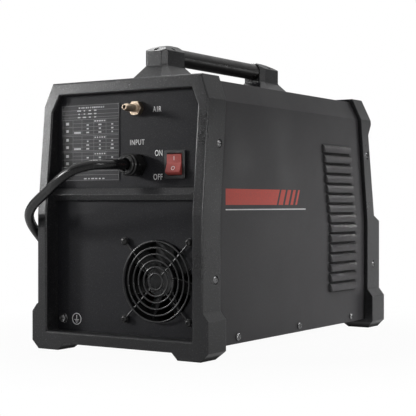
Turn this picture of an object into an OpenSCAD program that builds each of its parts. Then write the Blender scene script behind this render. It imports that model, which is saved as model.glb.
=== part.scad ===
// Inverter plasma cutter unit: a folded steel case between two moulded end frames with feet,
// a carrying handle on top, the mains and air side at the rear and the torch side in front.
// Millimetres. The origin is on the floor under the middle of the case.
// +X is to the right as seen from the front, +Y runs to the rear, +Z is up.

/* [Case] */
// Width over the end frames, without the feet
frame_w = 218; // [190:1:262]
// Length over the end frames
case_l = 420; // [360:1:504]
// Height of the end frames above the floor
case_h = 292; // [285:1:351]
// Wall of the moulded end frames
frame_wall = 4.2; // [3:0.1:6]
// Thickness of the sheet steel
sheet_t = 1.4; // [0.8:0.1:2.5]
// How far the top corners slope in
slope_w = 10.5; // [6:0.5:18]
// Height of the sloped top corners
slope_h = 26; // [16:1:36]
// How far the cover runs in under the end frames
cover_lap = 10; // [6:0.5:11]
// Bevel along the outer edges and windows of the moulded frames
frame_bevel = 1.4; // [0.6:0.1:2]

/* [Feet] */
// How far a foot stands out to the side
foot_out = 7; // [3:0.5:12]
// Height of a foot's outstanding pad
foot_h = 41; // [25:1:55]
// Width of a foot's flat sole
foot_sole = 28; // [16:1:36]
// Clear height under the case
foot_lift = 7.5; // [5:0.5:15]

/* [Rear frame] */
// Depth of the rear frame along the side
rear_strip = 33.5; // [30:0.5:44]
// Depth of the rear recess down to the panel
rear_recess = 19; // [15:0.5:21]
// Height at which the rear face starts to lean forward
rear_knee_z = 148; // [120:1:160]
// Lean of the upper rear face, degrees
rear_lean = 5.5; // [2:0.5:8]
// Width of the frame's side bars
bar_w = 13; // [10:0.5:18]
// Height of the crossbar's lower edge
crossbar_z = 163; // [150:1:172]
// Height of the crossbar
crossbar_h = 13; // [8:1:18]

/* [Front frame] */
// Height of the front frame's protruding lower part
nose_h = 137; // [120:1:150]
// Depth of the front frame along the side at the nose
front_strip = 35; // [30:0.5:44]
// How far the control panel steps back from the nose
nose_step = 15.5; // [10:0.5:20]
// Lean of the control panel, degrees
panel_lean = 9.65; // [4:0.05:14]
// Recess of the front panel behind the nose
nose_recess = 14; // [10:0.5:18]
// Recess of the control panel behind the frame
control_recess = 8; // [5:0.5:10]

/* [Louvres] */
// Number of louvres on each side
louvre_count = 15; // [5:1:15]
// Distance between two louvres
louvre_pitch = 12; // [11:0.5:12]
// Length of a louvre
louvre_l = 74; // [40:1:90]
// How far a louvre stands out
louvre_out = 3.8; // [2:0.2:4.6]

/* [Handle] */
// Diameter of the handle tube
grip_d = 19.5; // [16:0.5:25]
// Height of the tube's axis above the cover
grip_z = 36.5; // [34:0.5:48]
// Distance between the two posts' middles
post_span = 212; // [170:1:260]
// Length of a post
post_l = 43; // [34:1:52]
// Width of a post
post_w = 30; // [26:1:40]

/* [Fan] */
// Side of the square fan
fan_size = 92; // [76:1:110]
// Depth of the fan
fan_depth = 25.4; // [20:0.1:38]
// Number of fan blades
blade_count = 7; // [5:1:11]
// Thickness of the guard's wire
wire_d = 1.9; // [1.6:0.1:3]

/* [Mains and air inlets] */
// Diameter of the mains cord
cord_d = 10.5; // [8.7:0.1:10.5]
// Width of the mains switch's bezel
switch_w = 25.7; // [22:0.1:30]
// Height of the mains switch's bezel
switch_h = 29.5; // [26:0.5:36]
// Swing of the mains rocker, degrees
rocker_swing = 22; // [16:1:24]
// Diameter over the gas inlet's barbs
barb_d = 8.4; // [6:0.1:10]
// How far the gas inlet and the torch connector stand out past the end frames
stand_out = 5; // [2:0.5:10]
// How far the cable gland stands out past the rear frame
gland_out = 4; // [0:0.5:8]

/* [Front sockets and controls] */
// Bore of the work socket
work_bore_d = 13; // [9:0.5:14]
// Thread diameter of the torch connector
torch_d = 16; // [12:0.5:20]
// Diameter of the current knob
knob_d = 30; // [20:1:36]
// Diameter of the current knob's shaft
knob_shaft_d = 6; // [4:0.5:8]

/* [Fits] */
// Running clearance between a shaft and its bore, on the radius
run_gap = 0.05; // [0.02:0.01:0.1]
// Clearance between pieces that only pass each other
fit_gap = 0.3; // [0.2:0.05:0.5]

/* [Hidden] */
$fn = 48;

// --- shared places, worked out from the sizes above ---
rear_y = case_l / 2;
front_y = -case_l / 2;
half_w = frame_w / 2;
foot_slope = 9;                        // height and reach of the slopes at a foot
crease_z = case_h - slope_h;
lean_run = tan(rear_lean);             // forward run of the rear face for 1 mm of height
slope_run = tan(panel_lean);           // rearward run of the control face for 1 mm of height

proud = frame_wall + fit_gap;          // the frames stand out from the cover by this much
cover_half = half_w - proud;
cover_top = case_h - frame_wall + 0.2;
cover_bottom = foot_lift + 4;
cover_top_half = half_w - slope_w - frame_wall + 0.4;
tray_bottom = cover_bottom - 0.2;

panel_y = rear_y - rear_recess;        // outer face of the rear panel
panel_in = panel_y - sheet_t;
window_half = half_w - bar_w;
window_bottom = foot_lift + 12.5;
window_top = case_h - 14;
window_r = 4;

nose_panel_y = front_y + nose_recess;  // outer face of the front panel
nose_slope_h = 7;
slope_foot_z = nose_h + nose_slope_h;
visor_z = case_h - 45;                 // where the control face ends under the visor
slope_foot_y = front_y + nose_step;
slope_mid_z = (slope_foot_z + visor_z) / 2;
slope_mid_y = slope_foot_y + (slope_mid_z - slope_foot_z) * slope_run;
control_window_h = (visor_z - slope_foot_z) / cos(panel_lean) - 14;
nose_window_top = nose_h - 12;
front_joint_lean = 8.4;

fan_pitch = fan_size - 9.5;            // 82.5 on a 92 mm fan
fan_x = -41;
fan_z = 78;
fan_bore = fan_size / 2 - 2.6;
fan_back = panel_in - fan_depth;
hub_r = 16;
fan_shaft_d = 3;

switch_x = -63.7;
switch_z = crossbar_z + 37;
gland_x = -15;
gland_z = crossbar_z + 37;
gas_x = -15;
gas_z = crossbar_z + 97;
earth_x = half_w - 23;
earth_z = window_bottom + 13;
plate_x = [9, min(89.6, window_half - 6)];
plate_z = [crossbar_z + crossbar_h + 8, min(crossbar_z + 104.5, window_top - 10)];

frame_screw_z = [81.5, 221];
screw_head_r = 3.9;
screw_head_h = 2.2;
screw_sink = 1.6;                      // depth of a screw head's seat in a frame
cover_screw_z = cover_bottom + 7;
cover_screw_y = [-135, 0, 135] * case_l / 420;

post_mid = 13.5;                       // the handle sits this far behind the middle of the case
rear_post_y = post_mid + post_span / 2;
front_post_y = post_mid - post_span / 2;
grip_axis_z = cover_top + grip_z;
post_h = grip_z + grip_d / 2 + 1.6;
post_lift = 0.2;                       // the posts stand this far clear of the cover
post_pad_h = 6;                        // height of a post's upright edge at its foot
flare_h = 23;
flare_side = 16.5;
corner_cut = 5.5;                      // bevel down a post's upright corners
roof_drop = 7.5;                       // how far a post's top slopes down to its sides
roof_run = 12;                         // width of that slope
end_drop = 8.5;                        // how far it slopes down to its outer end
end_steep = [8, 4.7];                  // length and height of the steepest part of the end slope
grip_seat = 8;                         // how deep the tube sits in a post
post_screw_r = 2.4;
post_screw_deep = 2.4;

work_x = 52;
work_z = 66;
torch_x = -48;
torch_z = 66;
pilot_x = 2;
pilot_z = 98;

knob_at = [44, -6];                    // places on the control panel: along X and up the slope
display_at = [-22, 18];
display_size = [52, 24];
lamps_at = [-74, 26];
lamp_pitch = 9.1;
test_at = [-66, -16];
test_size = [15, 21];
test_swing = 20;
knob_len = 15;

board_z = 150;
board_size = [170, 236];
board_y = -10;
sink_h = 62;
sink_l = 150;

// route of the mains cord from the gland round the rear corner, down the side and to its coil
cord_r = cord_d / 2;
cord_run_route = [
  [-15, 210, 200], [-15, 221, 200], [-11, 236, 200], [0, 249, 199], [14, 257, 195], [28, 258, 189],
  [43, 255, 181], [60, 248, 173], [78, 241, 165], [94, 234, 157], [106, 226, 149], [114, 216, 141],
  [119, 204, 132], [121, 190, 121], [121, 174, 107], [121, 158, 92], [121, 142, 77], [121, 126, 62],
  [121, 110, 48], [121, 93, 35], [121, 75, 24], [121, 57, 15.5], [122, 38, 9.8], [124, 20, 7.3],
  [127, 1, 6.8], [128, -15, 6.8], [128, -29.5, 6.8]];
coil_centre = [196, -40];
coil_out_r = 68;
coil_turns = 5;
coil_z = 6.8;
coil_pitch = 11.1;                     // from one turn to the next beside it, and from layer to layer
coil_lead = 10.5;                      // straight stretch at each end of the coil
loop_rings = 24;
cord_tail_route = [
  [128, -50.5, 17.9], [128, -61, 17.9], [130, -76, 15.5], [135, -92, 12], [141, -108, 9.6],
  [146, -123, 8.7], [148, -136, 8.5], [148, -148, 8.5]];
plug_y = -148;
plug_x = 148;

// --- shared helpers ---
module along_y(y0, y1) { translate([0, y1, 0]) rotate([90, 0, 0]) linear_extrude(y1 - y0) children(); }
module along_x(x0, x1) { translate([x0, 0, 0]) rotate([90, 0, 90]) linear_extrude(x1 - x0) children(); }
module both_sides() { children(); mirror([1, 0, 0]) children(); }

// a cylinder along +Y from y0 to y1
module rod_y(r, y0, y1) { translate([0, y0, 0]) rotate([-90, 0, 0]) cylinder(r = r, h = y1 - y0); }
// a cylinder along +X from x0 to x1
module rod_x(r, x0, x1) { translate([x0, 0, 0]) rotate([0, 90, 0]) cylinder(r = r, h = x1 - x0); }

// a square rod along the edge from a to b; cut from a frame, it leaves a bevel of that size
module edge_bevel(a, b, size) {
  edge = b - a;
  translate(a) rotate([0, acos(edge[2] / norm(edge)), atan2(edge[1], edge[0])])
    translate([0, 0, -size / 2]) cylinder(r = size, h = norm(edge) + size, $fn = 4);
}

module bevel_along(points, closed = true) {
  for (i = [0:len(points) - (closed ? 1 : 2)])
    edge_bevel(points[i], points[(i + 1) % len(points)], frame_bevel);
}

module rounded_rect(size, r) {
  translate([r, 0]) square([size[0] - 2 * r, size[1]]);
  translate([0, r]) square([size[0], size[1] - 2 * r]);
  for (x = [r, size[0] - r], y = [r, size[1] - r]) translate([x, y]) circle(r = r);
}

// end view of the case: straight sides, sloped top corners
module case_outline(half, top_half, crease, bottom, top) {
  polygon([[-half, bottom], [half, bottom], [half, crease], [top_half, top], [-top_half, top],
           [-half, crease]]);
}

module frame_outline() { case_outline(half_w, half_w - slope_w, crease_z, foot_lift, case_h); }
module cover_outline(grow) {
  case_outline(cover_half + grow, cover_top_half + grow, crease_z, cover_bottom - 0.4 * sign(grow),
               cover_top + grow);
}

// end view of one foot
module foot_outline() {
  outer = half_w + foot_out;
  sole_out = outer - foot_slope;
  polygon([[sole_out, 0], [outer, foot_slope], [outer, foot_h], [half_w, foot_h + foot_slope],
           [half_w - 20, foot_h + foot_slope], [sole_out - foot_sole - foot_lift, foot_lift + 0.5],
           [sole_out - foot_sole - foot_lift, foot_lift], [sole_out - foot_sole, 0]]);
}

// side view of a foot, from its end face inwards; toward is -1 at the rear and 1 at the front
module foot_side(end_y, toward, strip) {
  polygon([[end_y, 0], [end_y + toward * (strip - 6), 0], [end_y + toward * strip, foot_lift],
           [end_y + toward * strip, foot_h + foot_slope + 1], [end_y, foot_h + foot_slope + 1]]);
}

// seat for a pan head screw in the side of a frame or of the cover
module side_seat(y, z, x_out, r, depth) {
  both_sides() translate([0, y, z]) rod_x(r, x_out - depth, x_out + 8);
}

// a pan head screw with a cross recess; its head stands on height 0
module screw(head_r, head_h, shank_r, shank_l) {
  difference() {
    union() {
      rotate_extrude() polygon([[0, 0], [head_r, 0], [head_r, head_h * 0.45], [head_r * 0.82, head_h * 0.85],
                                [head_r * 0.5, head_h], [0, head_h]]);
      translate([0, 0, -shank_l]) cylinder(r = shank_r, h = shank_l + 0.1);
    }
    for (turn = [0, 90]) rotate([0, 0, turn])
      translate([-head_r * 0.6, -0.5, head_h - 1]) cube([head_r * 1.2, 1, 2]);
  }
}

module side_screws(y, z, x_seat, head_h, shank_r, shank_l) {
  both_sides() translate([x_seat, y, z]) rotate([0, 90, 0]) screw(screw_head_r, head_h, shank_r, shank_l);
}

// --- end frames ---
// side view of the rear face line: upright, then leaning forward
function rear_face(z) = rear_y - max(0, z - rear_knee_z) * lean_run;
function front_joint(z) = front_y + front_strip + max(0, z - nose_h) * tan(front_joint_lean);
function rear_screw_y(z) = rear_face(z) - rear_strip + 8.5;
function front_screw_y(z) = z > nose_h ? front_joint(z) - 10.5 : front_y + front_strip - 17;

// a sunk seat for a screw's head and the hole for its shank, on both sides of a frame
module frame_screw_seat(y, z) {
  side_seat(y, z, half_w, screw_head_r + 0.8, screw_sink);
  side_seat(y, z, half_w, 2.3, frame_wall + 1);
}

module rear_side_view() {
  joint = rear_y - rear_strip;
  polygon([[joint, 0], [rear_y, 0], [rear_y, rear_knee_z], [rear_face(case_h), case_h],
           [rear_face(case_h) - rear_strip, case_h], [joint, rear_knee_z]]);
}

window_slope = slope_w - 2;            // width of the sloped top corners of the rear window
window_crease_z = crease_z - 6;

module rear_window() {
  translate([-window_half, window_bottom])
    rounded_rect([2 * window_half, crossbar_z - window_bottom], window_r);
  polygon([[-window_half, crossbar_z - window_r], [window_half, crossbar_z - window_r],
           [window_half, window_crease_z], [window_half - window_slope, window_top],
           [-window_half + window_slope, window_top], [-window_half, window_crease_z]]);
}

// the rear window's mouth and the rear frame's outer edge, as points on the rear face
rear_window_rim = [
  for (p = [[-window_half, window_bottom], [window_half, window_bottom], [window_half, rear_knee_z],
            [window_half, window_crease_z], [window_half - window_slope, window_top],
            [-window_half + window_slope, window_top], [-window_half, window_crease_z],
            [-window_half, rear_knee_z]]) [p[0], rear_face(p[1]), p[1]]];
rear_rim = [
  for (p = [[-half_w, foot_h + foot_slope], [-half_w, rear_knee_z], [-half_w, crease_z],
            [-half_w + slope_w, case_h], [half_w - slope_w, case_h], [half_w, crease_z],
            [half_w, rear_knee_z], [half_w, foot_h + foot_slope]]) [p[0], rear_face(p[1]), p[1]]];

module crossbar() {
  along_x(-window_half - 1, window_half + 1)
    polygon([[panel_y + 0.1, crossbar_z], [rear_y - 15, crossbar_z],
             [rear_y - 11, crossbar_z + crossbar_h * 0.45], [rear_y - 15.5, crossbar_z + crossbar_h],
             [panel_y + 0.1, crossbar_z + crossbar_h]]);
}

module rear_frame() {
  color([0.2, 0.2, 0.21]) difference() {
    union() {
      difference() {
        intersection() {
          along_y(front_y, rear_y) frame_outline();
          along_x(-half_w, half_w) rear_side_view();
        }
        along_y(0, rear_y + 1) rear_window();
        along_y(0, panel_y) cover_outline(fit_gap);
      }
      crossbar();
      both_sides() intersection() {
        along_y(0, rear_y) foot_outline();
        along_x(0, half_w + foot_out) foot_side(rear_y, -1, rear_strip);
        along_y(0, rear_y) difference() {
          translate([0, 0]) square([half_w + foot_out, foot_h + foot_slope]);
          cover_outline(fit_gap);
        }
      }
    }
    bevel_along(rear_window_rim);
    bevel_along(rear_rim, closed = false);
    for (z = frame_screw_z) frame_screw_seat(rear_screw_y(z), z);
  }
}

module front_side_view() {
  joint_top = front_joint(case_h);
  polygon([[front_y, 0], [front_y + front_strip, 0], [front_y + front_strip, nose_h], [joint_top, case_h],
           [front_y + 31, case_h], [front_y + 25, case_h - 31],
           [slope_foot_y + (visor_z - slope_foot_z) * slope_run, visor_z],
           [slope_foot_y, slope_foot_z], [front_y, nose_h]]);
}

// inside of the front frame: behind the front panel, the ledge and the control panel
module front_inner_view() {
  back = control_recess / cos(panel_lean);
  polygon([[nose_panel_y, 0], [nose_panel_y, nose_h - 4],
           [slope_foot_y + back - 5 * slope_run, slope_foot_z - 5],
           [slope_foot_y + back + (visor_z - slope_foot_z) * slope_run, visor_z],
           [slope_foot_y + back + (case_h - slope_foot_z) * slope_run, case_h], [0, case_h], [0, 0]]);
}

// the mouth of the window before the sockets
nose_window_rim = [
  for (p = [[-window_half, window_bottom], [window_half, window_bottom], [window_half, nose_window_top],
            [-window_half, nose_window_top]]) [p[0], front_y, p[1]]];

// children sit on the control panel: X along it, Y up the slope, Z out of it
module on_control_panel() {
  translate([0, slope_mid_y + control_recess * cos(panel_lean),
             slope_mid_z - control_recess * sin(panel_lean)])
    rotate([90 - panel_lean, 0, 0]) children();
}

module front_frame() {
  color([0.2, 0.2, 0.21]) difference() {
    union() {
      difference() {
        intersection() {
          along_y(front_y, 0) frame_outline();
          along_x(-half_w, half_w) front_side_view();
        }
        intersection() {
          along_y(front_y, 0) cover_outline(fit_gap);
          along_x(-half_w, half_w) {
            front_inner_view();
            translate([-2 * fit_gap, 0]) cover_side_view();
          }
        }
      }
      both_sides() intersection() {
        along_y(front_y, 0) foot_outline();
        along_x(0, half_w + foot_out) foot_side(front_y, 1, front_strip);
        along_y(front_y, 0) difference() {
          square([half_w + foot_out, foot_h + foot_slope]);
          cover_outline(fit_gap);
        }
      }
    }
    along_y(front_y - 1, nose_panel_y + 1)
      translate([-window_half, window_bottom])
        rounded_rect([2 * window_half, nose_window_top - window_bottom], window_r);
    on_control_panel() translate([-window_half, -control_window_h / 2, -1])
      linear_extrude(control_recess + 12) rounded_rect([2 * window_half, control_window_h], window_r);
    bevel_along(nose_window_rim);
    for (z = frame_screw_z) frame_screw_seat(front_screw_y(z), z);
  }
}

// --- cover ---
module cover_side_view() {
  front_end = front_y + front_strip - cover_lap;
  rear_end = rear_y - rear_strip + cover_lap;
  polygon([[front_end, 0], [rear_end, 0], [rear_end, rear_knee_z],
           [rear_end - (case_h - rear_knee_z) * lean_run, case_h],
           [front_end + (case_h - nose_h) * tan(front_joint_lean), case_h], [front_end, nose_h]]);
}

hood_h = louvre_pitch - 2.4;           // height of a louvre's hood
hood_end = 3.2;                        // length of a hood's sloped end
hood_root = 0.4;                       // how deep a hood sits in the sheet
function louvre_z(i) = 53 + i * louvre_pitch;
function louvre_y(z) = front_y + 61 + max(0, z - 125) * 0.19;

// end view of a hood: out from the sheet at its mouth, then round and back to the sheet
module hood_outline(out, h) {
  polygon([[-hood_root, 0], for (turn = [0:18:90]) [out * pow(cos(turn), 0.7), h * sin(turn)],
           [-hood_root, h]]);
}

// one pressed hood, open below, with ends that slope back to the sheet
module louvre_hood(z) {
  y0 = louvre_y(z);
  difference() {
    intersection() {
      along_y(y0, y0 + louvre_l) translate([cover_half, z]) hood_outline(louvre_out, hood_h);
      translate([cover_half, y0, z - 1]) linear_extrude(hood_h + 2)
        polygon([[-hood_root, 0], [0, 0], [louvre_out * 0.75, hood_end * 0.4], [louvre_out, hood_end],
                 [louvre_out, louvre_l - hood_end], [louvre_out * 0.75, louvre_l - hood_end * 0.4],
                 [0, louvre_l], [-hood_root, louvre_l]]);
    }
    along_y(y0 + hood_end, y0 + louvre_l - hood_end) translate([cover_half, z - 0.01])
      hood_outline(louvre_out - sheet_t * 0.8, hood_h - 2.6);
  }
}

// the slot that a hood covers, through the sheet
module louvre_slot(z) {
  translate([cover_half - sheet_t - 1, louvre_y(z) + hood_end, z + 0.4])
    cube([sheet_t + 2, louvre_l - 2 * hood_end, hood_h - 4.4]);
}

module cover() {
  color([0.29, 0.28, 0.3]) difference() {
    union() {
      intersection() {
        along_y(front_y, rear_y) difference() {
          cover_outline(0);
          case_outline(cover_half - sheet_t, cover_top_half - sheet_t * 0.8, crease_z - sheet_t * 0.3,
                       0, cover_top - sheet_t);
        }
        along_x(-half_w, half_w) cover_side_view();
      }
      both_sides() for (i = [0:louvre_count - 1]) louvre_hood(louvre_z(i));
    }
    both_sides() for (i = [0:louvre_count - 1]) louvre_slot(louvre_z(i));
    for (y = cover_screw_y) side_seat(y, cover_screw_z, cover_half, 2.3, sheet_t + 1);
  }
}

// --- inner tray and panels ---
module base_tray() {
  inner = cover_half - sheet_t - fit_gap;
  color([0.3, 0.3, 0.31]) difference() {
    along_y(nose_panel_y + sheet_t + 1, panel_in - 1) difference() {
      translate([-inner, tray_bottom]) square([2 * inner, 26]);
      translate([-inner + sheet_t, tray_bottom + sheet_t]) square([2 * (inner - sheet_t), 26]);
    }
    for (y = cover_screw_y) side_seat(y, cover_screw_z, inner, 1.9, sheet_t + 1);
    for (y = [-60:12:24]) translate([-40, y, tray_bottom - 1]) cube([80, 5, 4]);
  }
}

module rear_panel() {
  inner = cover_half - sheet_t - fit_gap - 1;
  color([0.2, 0.2, 0.21]) difference() {
    along_y(panel_in, panel_y)
      case_outline(inner, cover_top_half - 3, crease_z, tray_bottom + sheet_t + 0.5,
                   cover_top - sheet_t - 1);
    translate([fan_x, 0, fan_z]) {
      rod_y(fan_bore, panel_in - 1, panel_y + 1);
      for (x = [-1, 1], z = [-1, 1]) translate([x * fan_pitch / 2, 0, z * fan_pitch / 2])
        rod_y(2.3, panel_in - 1, panel_y + 1);
    }
    translate([switch_x - switch_w / 2 + 1.5, panel_in - 1, switch_z - switch_h / 2 + 1.2])
      cube([switch_w - 3, sheet_t + 2, switch_h - 2.4]);
    translate([gland_x, 0, gland_z]) rod_y(10.2, panel_in - 1, panel_y + 1);
    translate([gas_x, 0, gas_z]) rod_y(5.2, panel_in - 1, panel_y + 1);
    translate([earth_x, 0, earth_z]) rod_y(2.7, panel_in - 1, panel_y + 1);
  }
}

module front_panel() {
  inner = cover_half - sheet_t - fit_gap - 1;
  color([0.2, 0.2, 0.21]) difference() {
    along_y(nose_panel_y, nose_panel_y + sheet_t)
      translate([-inner, tray_bottom + sheet_t + 0.5])
        square([2 * inner, nose_h - 6 - tray_bottom - sheet_t]);
    translate([work_x, 0, work_z]) rod_y(work_bore_d / 2 + 4.2, front_y, 0);
    translate([torch_x, 0, torch_z]) rod_y(torch_d / 2 + 2.2, front_y, 0);
    translate([pilot_x, 0, pilot_z]) rod_y(6.2, front_y, 0);
  }
}

module control_panel() {
  inner = cover_half - sheet_t - fit_gap - 1;
  panel_h = control_window_h + 8;
  color([0.16, 0.16, 0.17]) on_control_panel() difference() {
    translate([-inner, -panel_h / 2, -sheet_t - 0.1]) cube([2 * inner, panel_h, sheet_t]);
    translate([knob_at[0], knob_at[1], -5]) cylinder(r = 4.7, h = 8);
    translate([display_at[0] - display_size[0] / 2 + 2, display_at[1] - display_size[1] / 2 + 2, -5])
      cube([display_size[0] - 4, display_size[1] - 4, 8]);
    for (i = [0:2]) translate([lamps_at[0], lamps_at[1] - i * lamp_pitch, -5]) cylinder(r = 2.7, h = 8);
    translate([test_at[0] - test_size[0] / 2 + 1, test_at[1] - test_size[1] / 2 + 1, -5])
      cube([test_size[0] - 2, test_size[1] - 2, 8]);
  }
}

// --- handle ---
module handle_tube() {
  color([0.1, 0.09, 0.09]) translate([0, 0, grip_axis_z]) difference() {
    rod_y(grip_d / 2, front_post_y + post_l / 2 - grip_seat, rear_post_y - post_l / 2 + grip_seat);
    rod_y(grip_d / 2 - 1.6, front_post_y, rear_post_y);
  }
}

// a profile that stands on the cover, flares out at its foot and has its own points on top
module post_profile(half, foot, top_points) {
  polygon(concat([[-half, flare_h], [-half - foot, post_pad_h], [-half - foot, post_lift],
                  [half + foot, post_lift], [half + foot, post_pad_h], [half, flare_h]], top_points));
}

// a body turned by 45 degrees that cuts off a post's upright corners; they widen towards its foot
module post_corners(reach, half, foot) {
  intersection_for (turn = [45, -45]) rotate([0, 0, turn]) along_y(-2 * reach, 2 * reach)
    polygon([[-half, flare_h + 1.2], [-half - foot, post_pad_h - 1.5], [-half - foot, -1], [half + foot, -1],
             [half + foot, post_pad_h - 1.5], [half, flare_h + 1.2], [half, post_h + 1], [-half, post_h + 1]]);
}

// a post; the tube enters it on the -Y side, and its top slopes down to the sides and to the other end
module handle_post() {
  half_l = post_l / 2;
  half = post_w / 2;
  reach = half_l + flare_side;
  color([0.2, 0.2, 0.21]) difference() {
    intersection() {
      along_y(-reach, reach) post_profile(half, flare_side,
        [[half, post_h - roof_drop], [half - roof_run, post_h], [roof_run - half, post_h],
         [-half, post_h - roof_drop]]);
      along_x(-half - flare_side, half + flare_side) post_profile(half_l, flare_side,
        [[half_l, post_h - end_drop], [half_l - end_steep[0], post_h - end_drop + end_steep[1]],
         [half_l - 18, post_h - 1], [half_l - 28, post_h], [-half_l + 2, post_h], [-half_l, post_h - 1.5]]);
      post_corners(reach, (half + half_l - corner_cut) / sqrt(2), flare_side * sqrt(2) - corner_cut / 2);
    }
    translate([0, 0, grip_z]) rod_y(grip_d / 2 + 0.1, -reach, -half_l + grip_seat + 0.2);
    on_post_top() translate([0, 0, -post_screw_deep]) cylinder(r = post_screw_r + 0.3, h = 8);
  }
}

// children stand on the screw places of a post's top: one on its end slope, one on each side slope
module on_post_top() {
  translate([0, (post_l - end_steep[0]) / 2, post_h - end_drop + end_steep[1] / 2])
    rotate([-atan2(end_steep[1], end_steep[0]), 0, 0]) children();
  side_at = post_w / 2 - 3.8;
  both_sides() translate([side_at, 0, post_h - roof_drop * (1 - (post_w / 2 - side_at) / roof_run)])
    rotate([0, atan2(roof_drop, roof_run), 0]) children();
}

module at_rear_post() { translate([0, rear_post_y, cover_top]) children(); }
module at_front_post() { translate([0, front_post_y, cover_top]) mirror([0, 1, 0]) children(); }

module rear_handle_post() { at_rear_post() handle_post(); }
module front_handle_post() { at_front_post() handle_post(); }

module post_screws() {
  on_post_top() translate([0, 0, -post_screw_deep]) difference() {
    cylinder(r = post_screw_r, h = 1.8);
    translate([0, 0, 0.8]) cylinder(r = 1.3, h = 3, $fn = 6);
  }
}

module handle_screws() {
  color([0.12, 0.12, 0.12]) {
    at_rear_post() post_screws();
    at_front_post() post_screws();
  }
}

module frame_screws() {
  color([0.12, 0.12, 0.12])
    for (z = frame_screw_z, y = [rear_screw_y(z), front_screw_y(z)])
      side_screws(y, z, half_w - screw_sink, screw_head_h, 2, 2);
}

module cover_screws() {
  color([0.12, 0.12, 0.12])
    for (y = cover_screw_y) side_screws(y, cover_screw_z, cover_half, screw_head_h, 1.7, 5);
}

// --- fan ---
module fan_housing() {
  half = fan_size / 2;
  mount = fan_pitch / 2;
  color([0.13, 0.13, 0.13]) translate([fan_x, 0, fan_z]) difference() {
    union() {
      difference() {
        along_y(fan_back, panel_in) translate([-half, -half]) rounded_rect([fan_size, fan_size], 5);
        rod_y(fan_bore, fan_back - 1, panel_in + 1);
        for (x = [-1, 1], z = [-1, 1])
          translate([x * mount, 0, z * mount]) rod_y(2.15, fan_back - 1, panel_in + 1);
        for (turn = [0:90:270]) rotate([0, turn, 0])
          translate([-half + 10, fan_back + 4, half - 1.2]) cube([fan_size - 20, fan_depth - 8, 3]);
      }
      rod_y(hub_r, fan_back, fan_back + 4);
      for (turn = [20:90:290]) rotate([0, turn, 0]) translate([hub_r - 2, fan_back, -2.5])
        cube([fan_bore - hub_r + 4, 3.4, 5]);
      rod_y(3.6, fan_back, fan_back + 15);
    }
    rod_y(fan_shaft_d / 2 + run_gap, fan_back - 1, fan_back + 16);
  }
}

// a blade is a curved plate set on the hub, an arc drawn along its own radius
module fan_blade(tip_r) {
  camber = 26;
  root_r = hub_r - 2.6;
  intersection() {
    translate([0, (fan_back + panel_in) / 2 + 1.3, root_r]) rotate([0, 0, 38]) translate([0, -2, 0])
      linear_extrude(tip_r) intersection() {
        difference() {
          translate([0, camber]) circle(r = camber + 0.9);
          translate([0, camber]) circle(r = camber - 0.9);
        }
        translate([-9.5, -1]) square([19, 8]);
      }
    rod_y(tip_r, fan_back + 5, panel_in - 2);
  }
}

module fan_rotor() {
  hub_y0 = fan_back + 4.6;
  hub_y1 = panel_in - 2;
  color([0.1, 0.1, 0.1]) translate([fan_x, 0, fan_z]) {
    difference() {
      rod_y(hub_r, hub_y0, hub_y1);
      rod_y(hub_r - 2, hub_y0 - 1, hub_y1 - 2);
    }
    rod_y(fan_shaft_d / 2, fan_back, hub_y1 - 1);
    for (i = [0:blade_count - 1]) rotate([0, i * 360 / blade_count, 0]) fan_blade(fan_bore - 1);
  }
}

// the guard's arms lie on the panel side of its rings and end in flat eyes under the screws
guard_ring_y = panel_y + wire_d * 1.5 + 1.2;
guard_arm_y = guard_ring_y - wire_d * 0.8;
guard_eye_t = wire_d * 0.8;

module wire_ring(r) {
  rotate([-90, 0, 0]) rotate_extrude() translate([r, 0]) circle(r = wire_d / 2, $fn = 24);
}

module fan_guard() {
  eye_at = fan_pitch / sqrt(2);
  inner_ring = 8.6;
  outer_ring = fan_pitch / 2 + 1;
  color([0.08, 0.08, 0.08]) translate([fan_x, 0, fan_z]) {
    translate([0, guard_ring_y, 0])
      for (i = [0:5]) wire_ring(inner_ring + (outer_ring - inner_ring) * i / 5);
    for (turn = [45:90:315]) rotate([0, turn, 0]) translate([0, guard_arm_y, 0]) {
      rod_x(wire_d / 2, inner_ring - 1.2, eye_at - 3.9);
      translate([eye_at, 0, 0]) rotate([-90, 0, 0]) translate([0, 0, -guard_eye_t / 2]) difference() {
        cylinder(r = 4.4, h = guard_eye_t);
        translate([0, 0, -1]) cylinder(r = 2.3, h = guard_eye_t + 2);
      }
    }
  }
}

module fan_screws() {
  seat_y = guard_arm_y + guard_eye_t / 2 + 0.05;
  color([0.15, 0.15, 0.15]) translate([fan_x, seat_y, fan_z])
    for (x = [-1, 1], z = [-1, 1]) translate([x * fan_pitch / 2, 0, z * fan_pitch / 2])
      rotate([-90, 0, 0]) screw(3.7, 2.4, 1.9, seat_y - panel_in + 14);
}

// --- mains switch ---
rocker_r = switch_h / 2 - 3.6;
rocker_half_w = switch_w / 2 - 3.8;
rocker_pivot_y = panel_y - 1;

module power_switch_body() {
  depth = 24;
  color([0.1, 0.1, 0.1]) translate([switch_x, 0, switch_z]) difference() {
    union() {
      along_y(panel_y + 0.05, panel_y + 2.4)
        translate([-switch_w / 2, -switch_h / 2]) rounded_rect([switch_w, switch_h], 1.5);
      translate([-switch_w / 2 + 1.7, panel_y - depth, -switch_h / 2 + 1.4])
        cube([switch_w - 3.4, depth + 1, switch_h - 2.8]);
    }
    translate([-rocker_half_w - fit_gap, panel_y - 16, -rocker_r - fit_gap - 0.1])
      cube([2 * (rocker_half_w + fit_gap), 30, 2 * (rocker_r + fit_gap + 0.1)]);
    translate([0, rocker_pivot_y, 0]) rod_x(1 + run_gap, -rocker_half_w - 0.8, rocker_half_w + 0.8);
  }
}

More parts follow.
